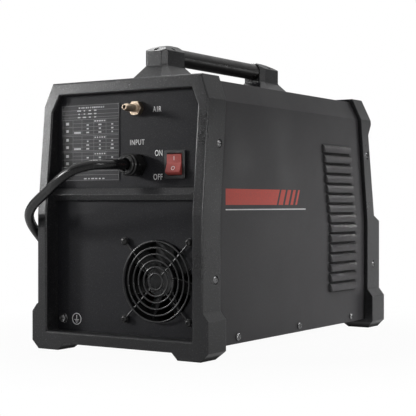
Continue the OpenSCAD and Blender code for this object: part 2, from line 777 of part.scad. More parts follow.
// side view of a rocker about its pivot: a drum with a shallow V face, drawn half way through its swing
module rocker_side(r, rise, swing) {
  intersection() {
    circle(r = r);
    polygon([[-r, -6], [r, -6], [r, rise + r * tan(swing / 2)], [0, rise], [-r, rise + r * tan(swing / 2)]]);
  }
}

module power_rocker() {
  color([0.75, 0.3, 0.29]) translate([switch_x, rocker_pivot_y, switch_z]) {
    rotate([rocker_swing / 2, 0, 0]) rotate([0, 90, 0]) translate([0, 0, -rocker_half_w])
      linear_extrude(2 * rocker_half_w) rocker_side(rocker_r, 4.4, rocker_swing);
    rod_x(1, -rocker_half_w - 0.6, rocker_half_w + 0.6);
  }
}

// --- cable gland ---
gland_hex_y = panel_y + 4.5;
gland_front_y = rear_y + gland_out;
gland_exit_y = gland_front_y - 4;      // the cord comes out of the seal here

module gland_body() {
  color([0.08, 0.08, 0.08]) translate([gland_x, 0, gland_z]) difference() {
    union() {
      translate([0, panel_y + 0.05, 0]) rotate([-90, 0, 0]) cylinder(r = 12.6, h = 4.4, $fn = 6);
      rod_y(10, panel_in - 8, panel_y + 1);
      rod_y(9, panel_y + 1, gland_hex_y + 6);
    }
    rod_y(cord_r + 1.2, panel_in - 9, gland_hex_y + 7);
  }
}

module gland_cap_nut() {
  color([0.08, 0.08, 0.08]) translate([gland_x, 0, gland_z]) difference() {
    union() {
      translate([0, gland_hex_y + 0.1, 0]) rotate([-90, 0, 0]) cylinder(r = 12.8, h = 8, $fn = 6);
      rotate([-90, 0, 0]) rotate_extrude()
        polygon([[0, gland_hex_y + 0.2], [11.8, gland_hex_y + 0.2], [11.8, gland_front_y - 4.6],
                 [10.8, gland_front_y - 3.4], [10.5, gland_front_y - 1], [9.6, gland_front_y],
                 [0, gland_front_y]]);
    }
    rod_y(9.2, gland_hex_y - 1, gland_hex_y + 6.3);
    rod_y(cord_r + 1.6, gland_hex_y, gland_front_y + 1);
  }
}

// the seal closes the gland's throat; the cord comes out of it
module gland_seal() {
  color([0.05, 0.05, 0.05]) translate([gland_x, 0, gland_z])
    rod_y(cord_r + 1.4, gland_hex_y + 6.6, gland_exit_y);
}

module gland_locknut() {
  color([0.08, 0.08, 0.08]) translate([gland_x, 0, gland_z]) difference() {
    translate([0, panel_in - 5.1, 0]) rotate([-90, 0, 0]) cylinder(r = 13.4, h = 5, $fn = 6);
    rod_y(10.1, panel_in - 6, panel_in + 1);
  }
}

// --- gas inlet ---
gas_tip_y = rear_y + stand_out;

module gas_inlet_barb() {
  r = barb_d / 2;
  seat = panel_y + 7.2;
  step = (gas_tip_y - seat - 2) / 3;
  color([0.79, 0.7, 0.52]) translate([gas_x, 0, gas_z]) difference() {
    rotate([-90, 0, 0]) rotate_extrude() polygon([
      [0, panel_in - 12], [5, panel_in - 12], [5, seat - 0.4], [r, seat - 0.4], [r - 0.9, seat + 1.5],
      for (i = [0:2]) each [[r, seat + 2 + i * step], [r - 1, seat + 2 + (i + 0.85) * step]],
      [r - 1.3, gas_tip_y], [0, gas_tip_y]]);
    rod_y(2.1, panel_in - 13, gas_tip_y + 1);
  }
}

module gas_inlet_nut() {
  color([0.79, 0.7, 0.52]) translate([gas_x, 0, gas_z]) difference() {
    intersection() {
      translate([0, panel_y + 0.05, 0]) rotate([-90, 0, 0]) cylinder(r = 8.2, h = 6.4, $fn = 6);
      rotate([-90, 0, 0]) rotate_extrude()
        polygon([[0, panel_y], [7.4, panel_y], [8.4, panel_y + 1], [8.4, panel_y + 5.4],
                 [7.2, panel_y + 6.5], [0, panel_y + 6.5]]);
    }
    rod_y(5.1, panel_y - 1, panel_y + 8);
  }
}

module gas_inlet_locknut() {
  color([0.79, 0.7, 0.52]) translate([gas_x, 0, gas_z]) difference() {
    translate([0, panel_in - 4.1, 0]) rotate([-90, 0, 0]) cylinder(r = 8.6, h = 4, $fn = 6);
    rod_y(5.1, panel_in - 6, panel_in + 1);
  }
}

module earth_screw() {
  color([0.15, 0.15, 0.15]) translate([earth_x, 0, earth_z]) difference() {
    union() {
      rod_y(2.5, panel_in - 10, panel_y + 2);
      rod_y(5.4, panel_y + 0.05, panel_y + 1.1);
      translate([0, panel_y + 1.1, 0]) rotate([-90, 0, 0]) cylinder(r = 4.4, h = 3, $fn = 6);
    }
    translate([-3, panel_y + 3.1, -0.5]) cube([6, 3, 1]);
  }
}

module data_plate() {
  color([0.16, 0.16, 0.17]) along_y(panel_y + 0.05, panel_y + 0.6)
    translate([plate_x[0], plate_z[0]]) rounded_rect([plate_x[1] - plate_x[0], plate_z[1] - plate_z[0]], 1);
}

// --- front controls ---
module current_knob() {
  color([0.1, 0.1, 0.1]) on_control_panel() translate([knob_at[0], knob_at[1], 0.8]) difference() {
    union() {
      cylinder(r = knob_d / 2, h = 3);
      intersection() {
        cylinder(r = knob_d / 2 - 2.2, h = knob_len);
        translate([0, 0, knob_len - 40]) sphere(r = 40);
      }
      for (i = [0:11]) rotate([0, 0, i * 30])
        translate([knob_d / 2 - 2.6, -1, 2]) cube([1.6, 2, knob_len - 5]);
    }
    translate([0, 0, -1]) cylinder(r = knob_shaft_d / 2, h = 11);
    translate([0, 0, -1]) cylinder(r = 6.2, h = 5);
    translate([-0.6, 3, knob_len - 1.2]) cube([1.2, knob_d / 2, 3]);
  }
}

module knob_shaft() {
  color([0.7, 0.7, 0.72]) on_control_panel() translate([knob_at[0], knob_at[1], -12])
    cylinder(r = knob_shaft_d / 2, h = 22.7);
}

module potentiometer() {
  color([0.5, 0.5, 0.5]) on_control_panel() translate([knob_at[0], knob_at[1], 0]) difference() {
    union() {
      translate([0, 0, -16]) cylinder(r = 8.5, h = 13.5);
      translate([0, 0, -3]) cylinder(r = 4.4, h = 6.4);
      translate([0, 0, 0.05]) cylinder(r = 5.6, h = 2, $fn = 6);
    }
    translate([0, 0, -13]) cylinder(r = knob_shaft_d / 2 + run_gap, h = 20);
  }
}

module display_window() {
  color([0.12, 0.05, 0.05]) on_control_panel() {
    translate([display_at[0] - display_size[0] / 2, display_at[1] - display_size[1] / 2, 0.05])
      linear_extrude(1.4) rounded_rect(display_size, 2);
    translate([display_at[0] - display_size[0] / 2 + 2.3, display_at[1] - display_size[1] / 2 + 2.3, -7])
      cube([display_size[0] - 4.6, display_size[1] - 4.6, 7.5]);
  }
}

module indicator_lamps() {
  color([0.6, 0.7, 0.3]) on_control_panel()
    for (i = [0:2]) translate([lamps_at[0], lamps_at[1] - i * lamp_pitch, 0]) {
      translate([0, 0, -7]) cylinder(r = 2.5, h = 8);
      translate([0, 0, 0.05]) cylinder(r = 3.4, h = 0.9);
      translate([0, 0, 1]) sphere(r = 2.5);
    }
}

test_r = test_size[1] / 2 - 1.8;
test_half_w = test_size[0] / 2 - 1.9;

module gas_test_switch_body() {
  color([0.1, 0.1, 0.1]) on_control_panel() translate([test_at[0], test_at[1], 0]) difference() {
    union() {
      translate([-test_size[0] / 2, -test_size[1] / 2, 0.05])
        linear_extrude(1.8) rounded_rect(test_size, 1.2);
      translate([-test_size[0] / 2 + 1.2, -test_size[1] / 2 + 1.2, -16])
        cube([test_size[0] - 2.4, test_size[1] - 2.4, 17]);
    }
    translate([-test_half_w - fit_gap, -test_r - fit_gap, -11])
      cube([2 * (test_half_w + fit_gap), 2 * (test_r + fit_gap), 16]);
    translate([0, 0, -1]) rod_x(0.8 + run_gap, -test_half_w - 0.7, test_half_w + 0.7);
  }
}

module gas_test_rocker() {
  color([0.13, 0.13, 0.13]) on_control_panel() translate([test_at[0], test_at[1], -1]) {
    rotate([test_swing / 2, 0, 0]) rotate([90, 0, 90]) translate([0, 0, -test_half_w])
      linear_extrude(2 * test_half_w) rocker_side(test_r, 3.6, test_swing);
    rod_x(0.8, -test_half_w - 0.5, test_half_w + 0.5);
  }
}

// --- front sockets ---
module work_socket() {
  r = work_bore_d / 2;
  color([0.79, 0.66, 0.4]) translate([work_x, 0, work_z]) difference() {
    rod_y(r + 3, nose_panel_y - 11, nose_panel_y + 30);
    rod_y(r, nose_panel_y - 12, nose_panel_y + 22);
  }
}

module work_socket_flange() {
  r = work_bore_d / 2 + 3.05;
  color([0.1, 0.1, 0.1]) translate([work_x, 0, work_z]) difference() {
    union() {
      rod_y(r + 9, nose_panel_y - 4, nose_panel_y - 0.05);
      rod_y(r + 4, nose_panel_y - 12, nose_panel_y - 4);
      rod_y(r + 1, nose_panel_y - 1, nose_panel_y + 9);
    }
    rod_y(r, nose_panel_y - 13, nose_panel_y + 10);
    translate([-2.2, nose_panel_y - 13, r - 0.5]) cube([4.4, 6, 2.5]);
  }
}

module torch_connector() {
  r = torch_d / 2;
  color([0.79, 0.66, 0.4]) translate([torch_x, 0, torch_z]) difference() {
    union() {
      rod_y(r, front_y - stand_out, nose_panel_y - 4.2);
      rod_y(r - 0.5, nose_panel_y - 5, nose_panel_y + 18);
      translate([0, nose_panel_y + 18, 0]) rotate([-90, 0, 0]) cylinder(r = r + 2, h = 6, $fn = 6);
    }
    rod_y(3, front_y - stand_out - 1, nose_panel_y + 25);
    rod_y(5, front_y - stand_out - 1, nose_panel_y - 7);
  }
}

module torch_connector_flange() {
  r = torch_d / 2 - 0.4;
  color([0.1, 0.1, 0.1]) translate([torch_x, 0, torch_z]) difference() {
    union() {
      along_y(nose_panel_y - 4, nose_panel_y - 0.05) translate([-20, -20]) rounded_rect([40, 40], 5);
      rod_y(r + 2, nose_panel_y - 1, nose_panel_y + 8);
    }
    rod_y(r, nose_panel_y - 6, nose_panel_y + 9);
    for (x = [-14.5, 14.5], z = [-14.5, 14.5])
      translate([x, 0, z]) rod_y(1.7, nose_panel_y - 5, nose_panel_y - 2);
  }
}

module pilot_connector() {
  color([0.6, 0.6, 0.62]) translate([pilot_x, 0, pilot_z]) difference() {
    union() {
      rod_y(6, nose_panel_y - 9, nose_panel_y + 9);
      rod_y(8.4, nose_panel_y - 2.2, nose_panel_y - 0.05);
    }
    difference() {
      rod_y(4.8, nose_panel_y - 10, nose_panel_y - 2);
      for (x = [-1.8, 1.8]) translate([x, 0, 0]) rod_y(0.7, nose_panel_y - 8, nose_panel_y - 1);
    }
  }
}

// --- air circuit ---
valve_y = 132;
valve_z = gas_z - 8;
hose_r = 4;

module solenoid_valve() {
  color([0.75, 0.63, 0.4]) translate([gas_x, valve_y, valve_z]) difference() {
    union() {
      translate([-11, -14, -12]) cube([22, 28, 20]);
      translate([0, 0, 8]) cylinder(r = 4, h = 5);
    }
    rod_y(3, -15, 15);
  }
}

module solenoid_coil() {
  color([0.1, 0.1, 0.1]) translate([gas_x, valve_y, valve_z - 42]) difference() {
    translate([-13, -16, 0]) cube([26, 32, 29.5]);
    translate([0, 0, -1]) cylinder(r = 4.5, h = 8);
  }
}

module inlet_hose() {
  color([0.3, 0.4, 0.6]) translate([gas_x, 0, valve_z]) difference() {
    rod_y(hose_r, valve_y + 14.2, panel_in - 12.4);
    rod_y(2, valve_y + 10, panel_in);
  }
}

// a quarter bend that leaves the origin along +Y and turns up to +Z
module hose_bend(r) {
  translate([0, 0, r]) rotate([0, 90, 0]) rotate_extrude(angle = 90) translate([r, 0]) circle(r = hose_r);
}

// a quarter turn round the origin that lies flat and starts at the given angle
module flat_bend(r, start) {
  rotate([0, 0, start]) rotate_extrude(angle = 90) translate([r, 0]) circle(r = hose_r);
}

// from the valve over to the torch's side, forward under the cover, down and forward to the torch connector
module torch_hose() {
  bend = 24;
  jog = (gas_x - torch_x) / 2;
  jog_y = valve_y - 20;
  down_y = nose_panel_y + 60;
  color([0.3, 0.4, 0.6]) {
    translate([gas_x, 0, valve_z]) rod_y(hose_r, jog_y, valve_y - 14.2);
    translate([gas_x - jog, jog_y, valve_z]) flat_bend(jog, -90);
    translate([gas_x - jog, jog_y - 2 * jog, valve_z]) flat_bend(jog, 90);
    translate([torch_x, 0, valve_z]) rod_y(hose_r, down_y + bend, jog_y - 2 * jog);
    translate([torch_x, down_y + bend, valve_z]) mirror([0, 1, 0]) mirror([0, 0, 1]) hose_bend(bend);
    translate([torch_x, down_y, torch_z + bend]) cylinder(r = hose_r, h = valve_z - torch_z - 2 * bend);
    translate([torch_x, down_y - bend, torch_z]) hose_bend(bend);
    translate([torch_x, 0, torch_z]) rod_y(hose_r, nose_panel_y + 24.4, down_y - bend);
  }
}

// --- electronics ---
tray_floor_z = tray_bottom + sheet_t;

module at_board_corners() {
  for (x = [-1, 1], y = [-1, 1])
    translate([x * (board_size[0] / 2 - 6), board_y + y * (board_size[1] / 2 - 6), 0]) children();
}

module power_board() {
  color([0.1, 0.3, 0.16]) difference() {
    translate([-board_size[0] / 2, board_y - board_size[1] / 2, board_z])
      cube([board_size[0], board_size[1], 1.6]);
    at_board_corners() translate([0, 0, board_z - 1]) cylinder(r = 2.1, h = 4);
  }
}

module board_pillars() {
  color([0.75, 0.75, 0.76]) at_board_corners() {
    translate([0, 0, tray_floor_z + 0.05]) cylinder(r = 4, h = board_z - tray_floor_z - 0.1, $fn = 6);
    translate([0, 0, board_z - 1]) cylinder(r = 2, h = 5);
  }
}

module heat_sinks() {
  top = board_z - 9;
  color([0.75, 0.76, 0.78])
    for (x = [-58, 4]) translate([x, board_y - sink_l / 2, 0]) {
      translate([0, 0, top - 7]) cube([54, sink_l, 7]);
      for (i = [0:8]) translate([i * 6.5, 0, top - sink_h]) cube([2, sink_l, sink_h - 6]);
    }
}

module power_modules() {
  color([0.12, 0.12, 0.13])
    for (x = [-39, 23], i = [0:3]) translate([x, board_y - 62 + i * 36, board_z - 8.9]) cube([16, 21, 5]);
}

module bulk_capacitors() {
  color([0.15, 0.2, 0.35])
    for (i = [0:3]) translate([-60, board_y - 72 + i * 40, board_z + 1.7]) {
      cylinder(r = 17.5, h = 50);
      translate([0, 0, 50]) cylinder(r = 16.3, h = 1);
    }
}

module transformer_core() {
  color([0.2, 0.2, 0.2]) translate([40, board_y + 55, tray_floor_z + 0.1]) difference() {
    translate([-36, -18, 0]) cube([72, 36, 66]);
    for (x = [-24, 8]) translate([x, -19, 12]) cube([16, 38, 42]);
  }
}

module transformer_windings() {
  color([0.72, 0.45, 0.2]) translate([40, board_y + 55, tray_floor_z + 0.1]) difference() {
    translate([-23.5, -29, 12.5]) linear_extrude(41) rounded_rect([47, 58], 8);
    translate([-8.3, -18.4, 10]) cube([16.6, 36.8, 50]);
  }
}

module output_choke() {
  color([0.5, 0.42, 0.2]) translate([-50, board_y + 40, tray_floor_z + 0.1]) difference() {
    cylinder(r = 34, h = 26);
    translate([0, 0, -1]) cylinder(r = 14, h = 30);
  }
}

module control_board() {
  color([0.1, 0.3, 0.16]) on_control_panel() translate([-90, -32, -24]) cube([180, 64, 1.6]);
}

// --- mains cord ---
function unit(v) = v / norm(v);
function heading(p, i) =
  i == 0 ? unit(p[1] - p[0]) : i == len(p) - 1 ? unit(p[i] - p[i - 1]) :
  unit(unit(p[i] - p[i - 1]) + unit(p[i + 1] - p[i]));
function ring(c, dir, r, sides) =
  let (side = unit(cross(dir, [0, 0, 1])), up = cross(side, dir))
  [for (k = [0:sides - 1]) c + r * (cos(360 * k / sides) * side + sin(360 * k / sides) * up)];
function route_length(p) = len(p) < 2 ? 0 : sum_steps([for (i = [1:len(p) - 1]) norm(p[i] - p[i - 1])]);
function sum_steps(v, i = 0) = i == len(v) ? 0 : v[i] + sum_steps(v, i + 1);

// a closed tube swept along a route: one ring at each point, all faces triangles
module swept_tube(route, r, sides) {
  last = len(route) - 1;
  points = [for (i = [0:last]) each ring(route[i], heading(route, i), r, sides)];
  walls = [for (i = [0:last - 1], k = [0:sides - 1])
    let (a = i * sides + k, b = i * sides + (k + 1) % sides)
    each [[a, b, b + sides], [a, b + sides, a + sides]]];
  first_cap = [for (k = [1:sides - 2]) [0, k + 1, k]];
  last_cap = [for (k = [1:sides - 2]) [last * sides, last * sides + k, last * sides + k + 1]];
  polyhedron(points, concat(walls, first_cap, last_cap));
}

// the coil: in at a steady rate for half its turns, up a layer while it reverses, and out again
coil_half = coil_turns / 2;
function smooth(x) = x <= 0 ? 0 : x >= 1 ? 1 : x * x * (3 - 2 * x);
function coil_radius(t) = coil_out_r - coil_pitch * (t < coil_half ? t : coil_turns - t);
function coil_height(t) = coil_z + coil_pitch * smooth((t - coil_half + 0.25) / 0.5);
function coil_point(t) = [
  coil_centre[0] + coil_radius(t) * cos(180 + 360 * t), coil_centre[1] + coil_radius(t) * sin(180 + 360 * t),
  coil_height(t)];
coil_steps = coil_turns * loop_rings;
coil_route = concat(
  [[coil_centre[0] - coil_out_r, coil_centre[1] + coil_lead, coil_z]],
  [for (i = [0:coil_steps]) coil_point(i / loop_rings)],
  [[coil_centre[0] - coil_out_r, coil_centre[1] - coil_lead, coil_z + coil_pitch]]);
coil_gap = min([for (i = [0:len(coil_route) - 1]) for (j = [i + loop_rings / 2:len(coil_route) - 1])
  norm(coil_route[i] - coil_route[j])]) - cord_d;
echo(coil_least_gap = coil_gap, coil_length = route_length(coil_route));
echo(run_length = route_length(cord_run_route), tail_length = route_length(cord_tail_route));

module mains_cord_run() { color([0.06, 0.06, 0.06]) swept_tube(cord_run_route, cord_r, 10); }
module mains_cord_coil() { color([0.06, 0.06, 0.06]) swept_tube(coil_route, cord_r, 6); }
module mains_cord_tail() { color([0.06, 0.06, 0.06]) swept_tube(cord_tail_route, cord_r, 10); }

module cord_tie() {
  inner_r = coil_out_r - coil_half * coil_pitch - cord_r - 0.8;
  outer_r = coil_out_r - 0.5 * coil_pitch + cord_r + 0.8;
  top = coil_z + coil_pitch + cord_r + 0.5;
  color([0.15, 0.15, 0.15]) translate([coil_centre[0], coil_centre[1], 0]) along_y(-7, 7) difference() {
    translate([inner_r - 1, 0.1]) rounded_rect([outer_r - inner_r + 2, top + 1], 3);
    translate([inner_r, 1.1]) rounded_rect([outer_r - inner_r, top - 1], 2);
  }
}

// the plug lies on its back with its pins up; the cord enters its end face
module mains_plug_body() {
  color([0.08, 0.08, 0.08]) translate([plug_x, plug_y, 0]) intersection() {
    linear_extrude(20) polygon([[-8, 0], [8, 0], [14, -8], [24, -20], [25, -44], [19, -52], [-19, -52],
                                [-25, -44], [-24, -20], [-14, -8]]);
    along_x(-26, 26)
      polygon([[0, 1.5], [0, 16], [-10, 17], [-18, 20], [-52, 20], [-52, 3], [-49, 0], [-6, 0]]);
  }
}

module mains_plug_pins() {
  color([0.78, 0.72, 0.5]) translate([plug_x, plug_y - 33, 20]) {
    translate([-2, -15, 0]) cube([4, 8, 22.7]);
    for (x = [-11.1, 11.1]) translate([x - 3.2, 5.2, 0]) cube([6.4, 4, 17.7]);
  }
}

rear_frame();
front_frame();
cover();
base_tray();
rear_panel();
front_panel();
control_panel();
handle_tube();
rear_handle_post();
front_handle_post();
handle_screws();
frame_screws();
cover_screws();
fan_housing();
fan_rotor();
fan_guard();
fan_screws();
power_switch_body();
power_rocker();
gland_body();
gland_cap_nut();
gland_seal();
gland_locknut();
gas_inlet_barb();
gas_inlet_nut();
gas_inlet_locknut();
earth_screw();
data_plate();
current_knob();
knob_shaft();
potentiometer();
display_window();
indicator_lamps();
gas_test_switch_body();
gas_test_rocker();
torch_connector();
torch_connector_flange();
pilot_connector();
work_socket();
work_socket_flange();
solenoid_valve();
solenoid_coil();
inlet_hose();
torch_hose();
power_board();
board_pillars();
heat_sinks();
power_modules();
bulk_capacitors();
transformer_core();
transformer_windings();
output_choke();
control_board();
mains_cord_run();
mains_cord_coil();
cord_tie();
mains_cord_tail();
mains_plug_body();
mains_plug_pins();
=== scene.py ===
import math

import bmesh
import bpy
from mathutils import Matrix, Vector


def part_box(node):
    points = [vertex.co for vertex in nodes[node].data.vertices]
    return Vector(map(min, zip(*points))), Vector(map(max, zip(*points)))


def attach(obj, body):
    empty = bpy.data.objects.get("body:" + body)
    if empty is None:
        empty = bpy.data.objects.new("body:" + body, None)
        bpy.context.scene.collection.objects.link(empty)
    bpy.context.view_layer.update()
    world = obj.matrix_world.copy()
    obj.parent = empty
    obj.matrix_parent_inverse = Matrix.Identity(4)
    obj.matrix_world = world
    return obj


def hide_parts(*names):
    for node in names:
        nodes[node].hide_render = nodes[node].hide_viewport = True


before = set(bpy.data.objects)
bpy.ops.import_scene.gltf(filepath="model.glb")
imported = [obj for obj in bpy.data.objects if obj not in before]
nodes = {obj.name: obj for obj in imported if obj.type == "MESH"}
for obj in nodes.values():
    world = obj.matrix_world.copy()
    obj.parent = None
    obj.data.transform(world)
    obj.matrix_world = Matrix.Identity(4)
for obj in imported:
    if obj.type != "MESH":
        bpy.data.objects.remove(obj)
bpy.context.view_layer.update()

MM = 0.001


def metres(point_mm):
    return Vector(point_mm) * MM


# ---------------------------------------------------------------- camera

CAMERA_PLACE = (-0.740, 1.169, 0.159)
CAMERA_FORWARD = (0.5455, -0.8381, -0.0035)
CAMERA_LENS = 99.4
SENSOR_W = 36


def add_camera():
    """The camera behind the machine, off its left side; lens and sensor are in mm, its place in metres."""
    data = bpy.data.cameras.new("camera")
    data.lens = CAMERA_LENS
    data.sensor_width = SENSOR_W
    data.clip_end = 50
    camera = bpy.data.objects.new("camera", data)
    camera.location = CAMERA_PLACE
    camera.rotation_euler = Vector(CAMERA_FORWARD).to_track_quat("-Z", "Y").to_euler()
    bpy.context.scene.collection.objects.link(camera)
    bpy.context.scene.camera = camera


add_camera()


# ---------------------------------------------------------------- mesh helpers

def link_mesh(name, mesh, body, slot, look=None):
    """A piece with its place in its mesh, on its body, in the finish that its slot names; look is its finish if not
    the slot's.
    """
    piece = bpy.data.objects.new(name, mesh)
    bpy.context.scene.collection.objects.link(piece)
    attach(piece, body)
    mesh.materials.clear()
    mesh.materials.append(finish(look or slot))
    return piece


def mesh_from(name, work, smooth_degrees=None):
    """Ends a bmesh as a mesh with its faces outwards, smooth where it bends less than the angle if there is one."""
    bmesh.ops.recalc_face_normals(work, faces=work.faces)
    mesh = bpy.data.meshes.new(name)
    if smooth_degrees:
        for face in work.faces:
            face.smooth = True
        for edge in work.edges:
            if len(edge.link_faces) == 2 and edge.calc_face_angle(0) > math.radians(smooth_degrees):
                edge.smooth = False
    work.to_mesh(mesh)
    work.free()
    return mesh


def tube(name, points, radius_at, sides):
    """A closed tube along points; radius_at takes the distance from its start."""
    work = bmesh.new()
    rings = []
    travelled = 0
    side = None
    for i, point in enumerate(points):
        before = points[max(i - 1, 0)]
        after = points[min(i + 1, len(points) - 1)]
        ahead = (after - before).normalized()
        if side is None:
            side = ahead.cross(Vector((0, 0, 1))).normalized()
        else:
            travelled += (point - before).length
            side = (side - ahead * side.dot(ahead)).normalized()
        up = side.cross(ahead)
        radius = radius_at(travelled)
        ring = []
        for k in range(sides):
            turn = 2 * math.pi * k / sides
            ring.append(work.verts.new(point + radius * (math.cos(turn) * side + math.sin(turn) * up)))
        rings.append(ring)
    for ring, following in zip(rings, rings[1:]):
        for k in range(sides):
            n = (k + 1) % sides
            work.faces.new((ring[k], ring[n], following[n], following[k]))
    work.faces.new(rings[0])
    work.faces.new(rings[-1])
    return mesh_from(name, work, smooth_degrees=40)


def rounded(points, steps):
    """The same route as a smooth curve through its points, with steps pieces between two points."""
    smooth = []
    for i in range(len(points) - 1):
        before = points[i - 1] if i else 2 * points[0] - points[1]
        after = points[i + 2] if i + 2 < len(points) else 2 * points[-1] - points[-2]
        a, b = points[i], points[i + 1]
        for k in range(steps):
            t = k / steps
            smooth.append(0.5 * (2 * a + (b - before) * t + (2 * before - 5 * a + 4 * b - after) * t * t
                                 + (3 * a - before - 3 * b + after) * t * t * t))
    smooth.append(points[-1])
    return smooth


# ---------------------------------------------------------------- shader groups

FLOAT, COLOUR, VECTOR = "NodeSocketFloat", "NodeSocketColor", "NodeSocketVector"

# The low and the high end between which a noise is read, for each use of it.
WHOLE, PATCHES, SPARSE_PATCHES = (0.3, 0.7), (0.35, 0.65), (0.4, 0.65)
SPECKS, STAINS, SMUDGES = (0.56, 0.72), (0.4, 0.75), (0.35, 0.7)


def add_node(tree, kind, inputs=None, **settings):
    """A node with its settings and inputs; an input is a value or another node's output."""
    made = tree.nodes.new(kind)
    for setting, value in settings.items():
        setattr(made, setting, value)
    for key, value in (inputs or {}).items():
        if isinstance(value, bpy.types.NodeSocket):
            tree.links.new(value, made.inputs[key])
        else:
            made.inputs[key].default_value = value
    return made


def calculate(tree, operation, first, second):
    return add_node(tree, "ShaderNodeMath", {0: first, 1: second}, operation=operation).outputs[0]


def remap(tree, value, low, high, to_low=0.0, to_high=1.0):
    made = add_node(tree, "ShaderNodeMapRange", {
        "Value": value, "From Min": low, "From Max": high, "To Min": to_low, "To Max": to_high})
    return made.outputs["Result"]


def object_place(tree):
    return add_node(tree, "ShaderNodeTexCoord").outputs["Object"]


def noise(tree, place, scale, detail):
    return add_node(tree, "ShaderNodeTexNoise", {"Vector": place, "Scale": scale, "Detail": detail}).outputs["Fac"]


def blend_colour(tree, factor, first, second):
    made = add_node(tree, "ShaderNodeMix", {"Factor": factor, 6: first, 7: second}, data_type="RGBA")
    return made.outputs[2]


def start_group(name, inputs, outputs):
    """A shader node group with named sockets; returns it with its input and output nodes' sockets."""
    group = bpy.data.node_groups.new(name, "ShaderNodeTree")
    for label, kind, value in inputs:
        socket = group.interface.new_socket(label, in_out="INPUT", socket_type=kind)
        socket.default_value = value
    for label, kind in outputs:
        group.interface.new_socket(label, in_out="OUTPUT", socket_type=kind)
    return group, group.nodes.new("NodeGroupInput").outputs, group.nodes.new("NodeGroupOutput").inputs


def surface_grain_group():
    """Fine pebbled grain, for moulded plastic and powder coat. Size is in metres."""
    group, given, result = start_group(
        "surface_grain", [("Size", FLOAT, 0.001)], [("Height", FLOAT), ("Speck", FLOAT)])
    pebble_share = noise_share = 0.6
    place = object_place(group)
    scale = calculate(group, "DIVIDE", 1.0, given["Size"])
    pebbles = add_node(group, "ShaderNodeTexVoronoi", {"Vector": place, "Scale": scale},
                       feature="SMOOTH_F1").outputs["Distance"]
    fine = noise(group, place, scale, 3.0)
    summed = calculate(group, "ADD", calculate(group, "MULTIPLY", pebbles, pebble_share),
                       calculate(group, "MULTIPLY", fine, noise_share))
    group.links.new(summed, result["Height"])
    group.links.new(remap(group, fine, *SPECKS), result["Speck"])
    return group


def soft_edge_group():
    """Rounds the light over sharp edges and masks those edges in patches. Radius and Wear Size are in metres."""
    group, given, result = start_group(
        "soft_edge", [("Radius", FLOAT, 0.001), ("Wear Size", FLOAT, 0.004)], [("Normal", VECTOR), ("Mask", FLOAT)])
    flat, turned_away = 0.995, 0.86
    rounded_normal = add_node(group, "ShaderNodeBevel", {"Radius": given["Radius"]}, samples=6).outputs["Normal"]
    true_normal = add_node(group, "ShaderNodeNewGeometry").outputs["True Normal"]
    along = add_node(group, "ShaderNodeVectorMath", {0: rounded_normal, 1: true_normal},
                     operation="DOT_PRODUCT").outputs["Value"]
    turned = remap(group, along, flat, turned_away)
    patchy = noise(group, object_place(group), calculate(group, "DIVIDE", 1.0, given["Wear Size"]), 4.0)
    group.links.new(rounded_normal, result["Normal"])
    group.links.new(calculate(group, "MULTIPLY", turned, remap(group, patchy, *PATCHES)), result["Mask"])
    return group


def mottle_group():
    """Varies a colour slowly over the surface, and lets a little dust lie on what faces up. Size is in metres."""
    group, given, result = start_group(
        "mottle", [("Color", COLOUR, (0.1, 0.1, 0.1, 1)), ("Size", FLOAT, 0.06), ("Amount", FLOAT, 0.1),
                   ("Dust", FLOAT, 0.0)], [("Color", COLOUR), ("Cloud", FLOAT)])
    dust_colour = (0.35, 0.33, 0.3, 1)
    cloud = noise(group, object_place(group), calculate(group, "DIVIDE", 1.0, given["Size"]), 5.0)
    centred = remap(group, cloud, *WHOLE, -1.0, 1.0)
    strength = calculate(group, "ADD", 1.0, calculate(group, "MULTIPLY", centred, given["Amount"]))
    varied = add_node(group, "ShaderNodeVectorMath", {0: given["Color"], "Scale": strength},
                      operation="SCALE").outputs["Vector"]
    normal = add_node(group, "ShaderNodeNewGeometry").outputs["Normal"]
    facing = add_node(group, "ShaderNodeSeparateXYZ", {0: normal}).outputs["Z"]
    too_steep = 0.5
    lying = calculate(group, "MULTIPLY", remap(group, facing, too_steep, 1.0), remap(group, cloud, *SPARSE_PATCHES))
    dusty = blend_colour(group, calculate(group, "MULTIPLY", lying, given["Dust"]), varied, dust_colour)
    group.links.new(dusty, result["Color"])
    group.links.new(cloud, result["Cloud"])
    return group


def machining_group():
    """Fine turned or drawn lines: noise stretched along one axis. Stretch holds the scale along each axis."""
    group, given, result = start_group(
        "machining", [("Stretch", VECTOR, (2000, 2000, 60))], [("Height", FLOAT), ("Tarnish", FLOAT)])
    stain_scale = 240.0
    place = object_place(group)
    stretched = add_node(group, "ShaderNodeVectorMath", {0: place, 1: given["Stretch"]},
                         operation="MULTIPLY").outputs["Vector"]
    group.links.new(noise(group, stretched, 1.0, 3.0), result["Height"])
    group.links.new(remap(group, noise(group, place, stain_scale, 4.0), *STAINS), result["Tarnish"])
    return group


GROUPS = {
    "surface_grain": surface_grain_group(),
    "soft_edge": soft_edge_group(),
    "mottle": mottle_group(),
    "machining": machining_group(),
}


def place_group(tree, name, inputs):
    """One of the groups in a material, with its own values; returns the group's outputs."""
    made = tree.nodes.new("ShaderNodeGroup")
    made.node_tree = GROUPS[name]
    for key, value in inputs.items():
        made.inputs[key].default_value = value
    return made.outputs


# ---------------------------------------------------------------- finishes

DUSTY_GREY = (0.16, 0.16, 0.165)
COAT_ROUGHNESS = 0.12


def opaque(colour):
    return (*colour, 1.0)


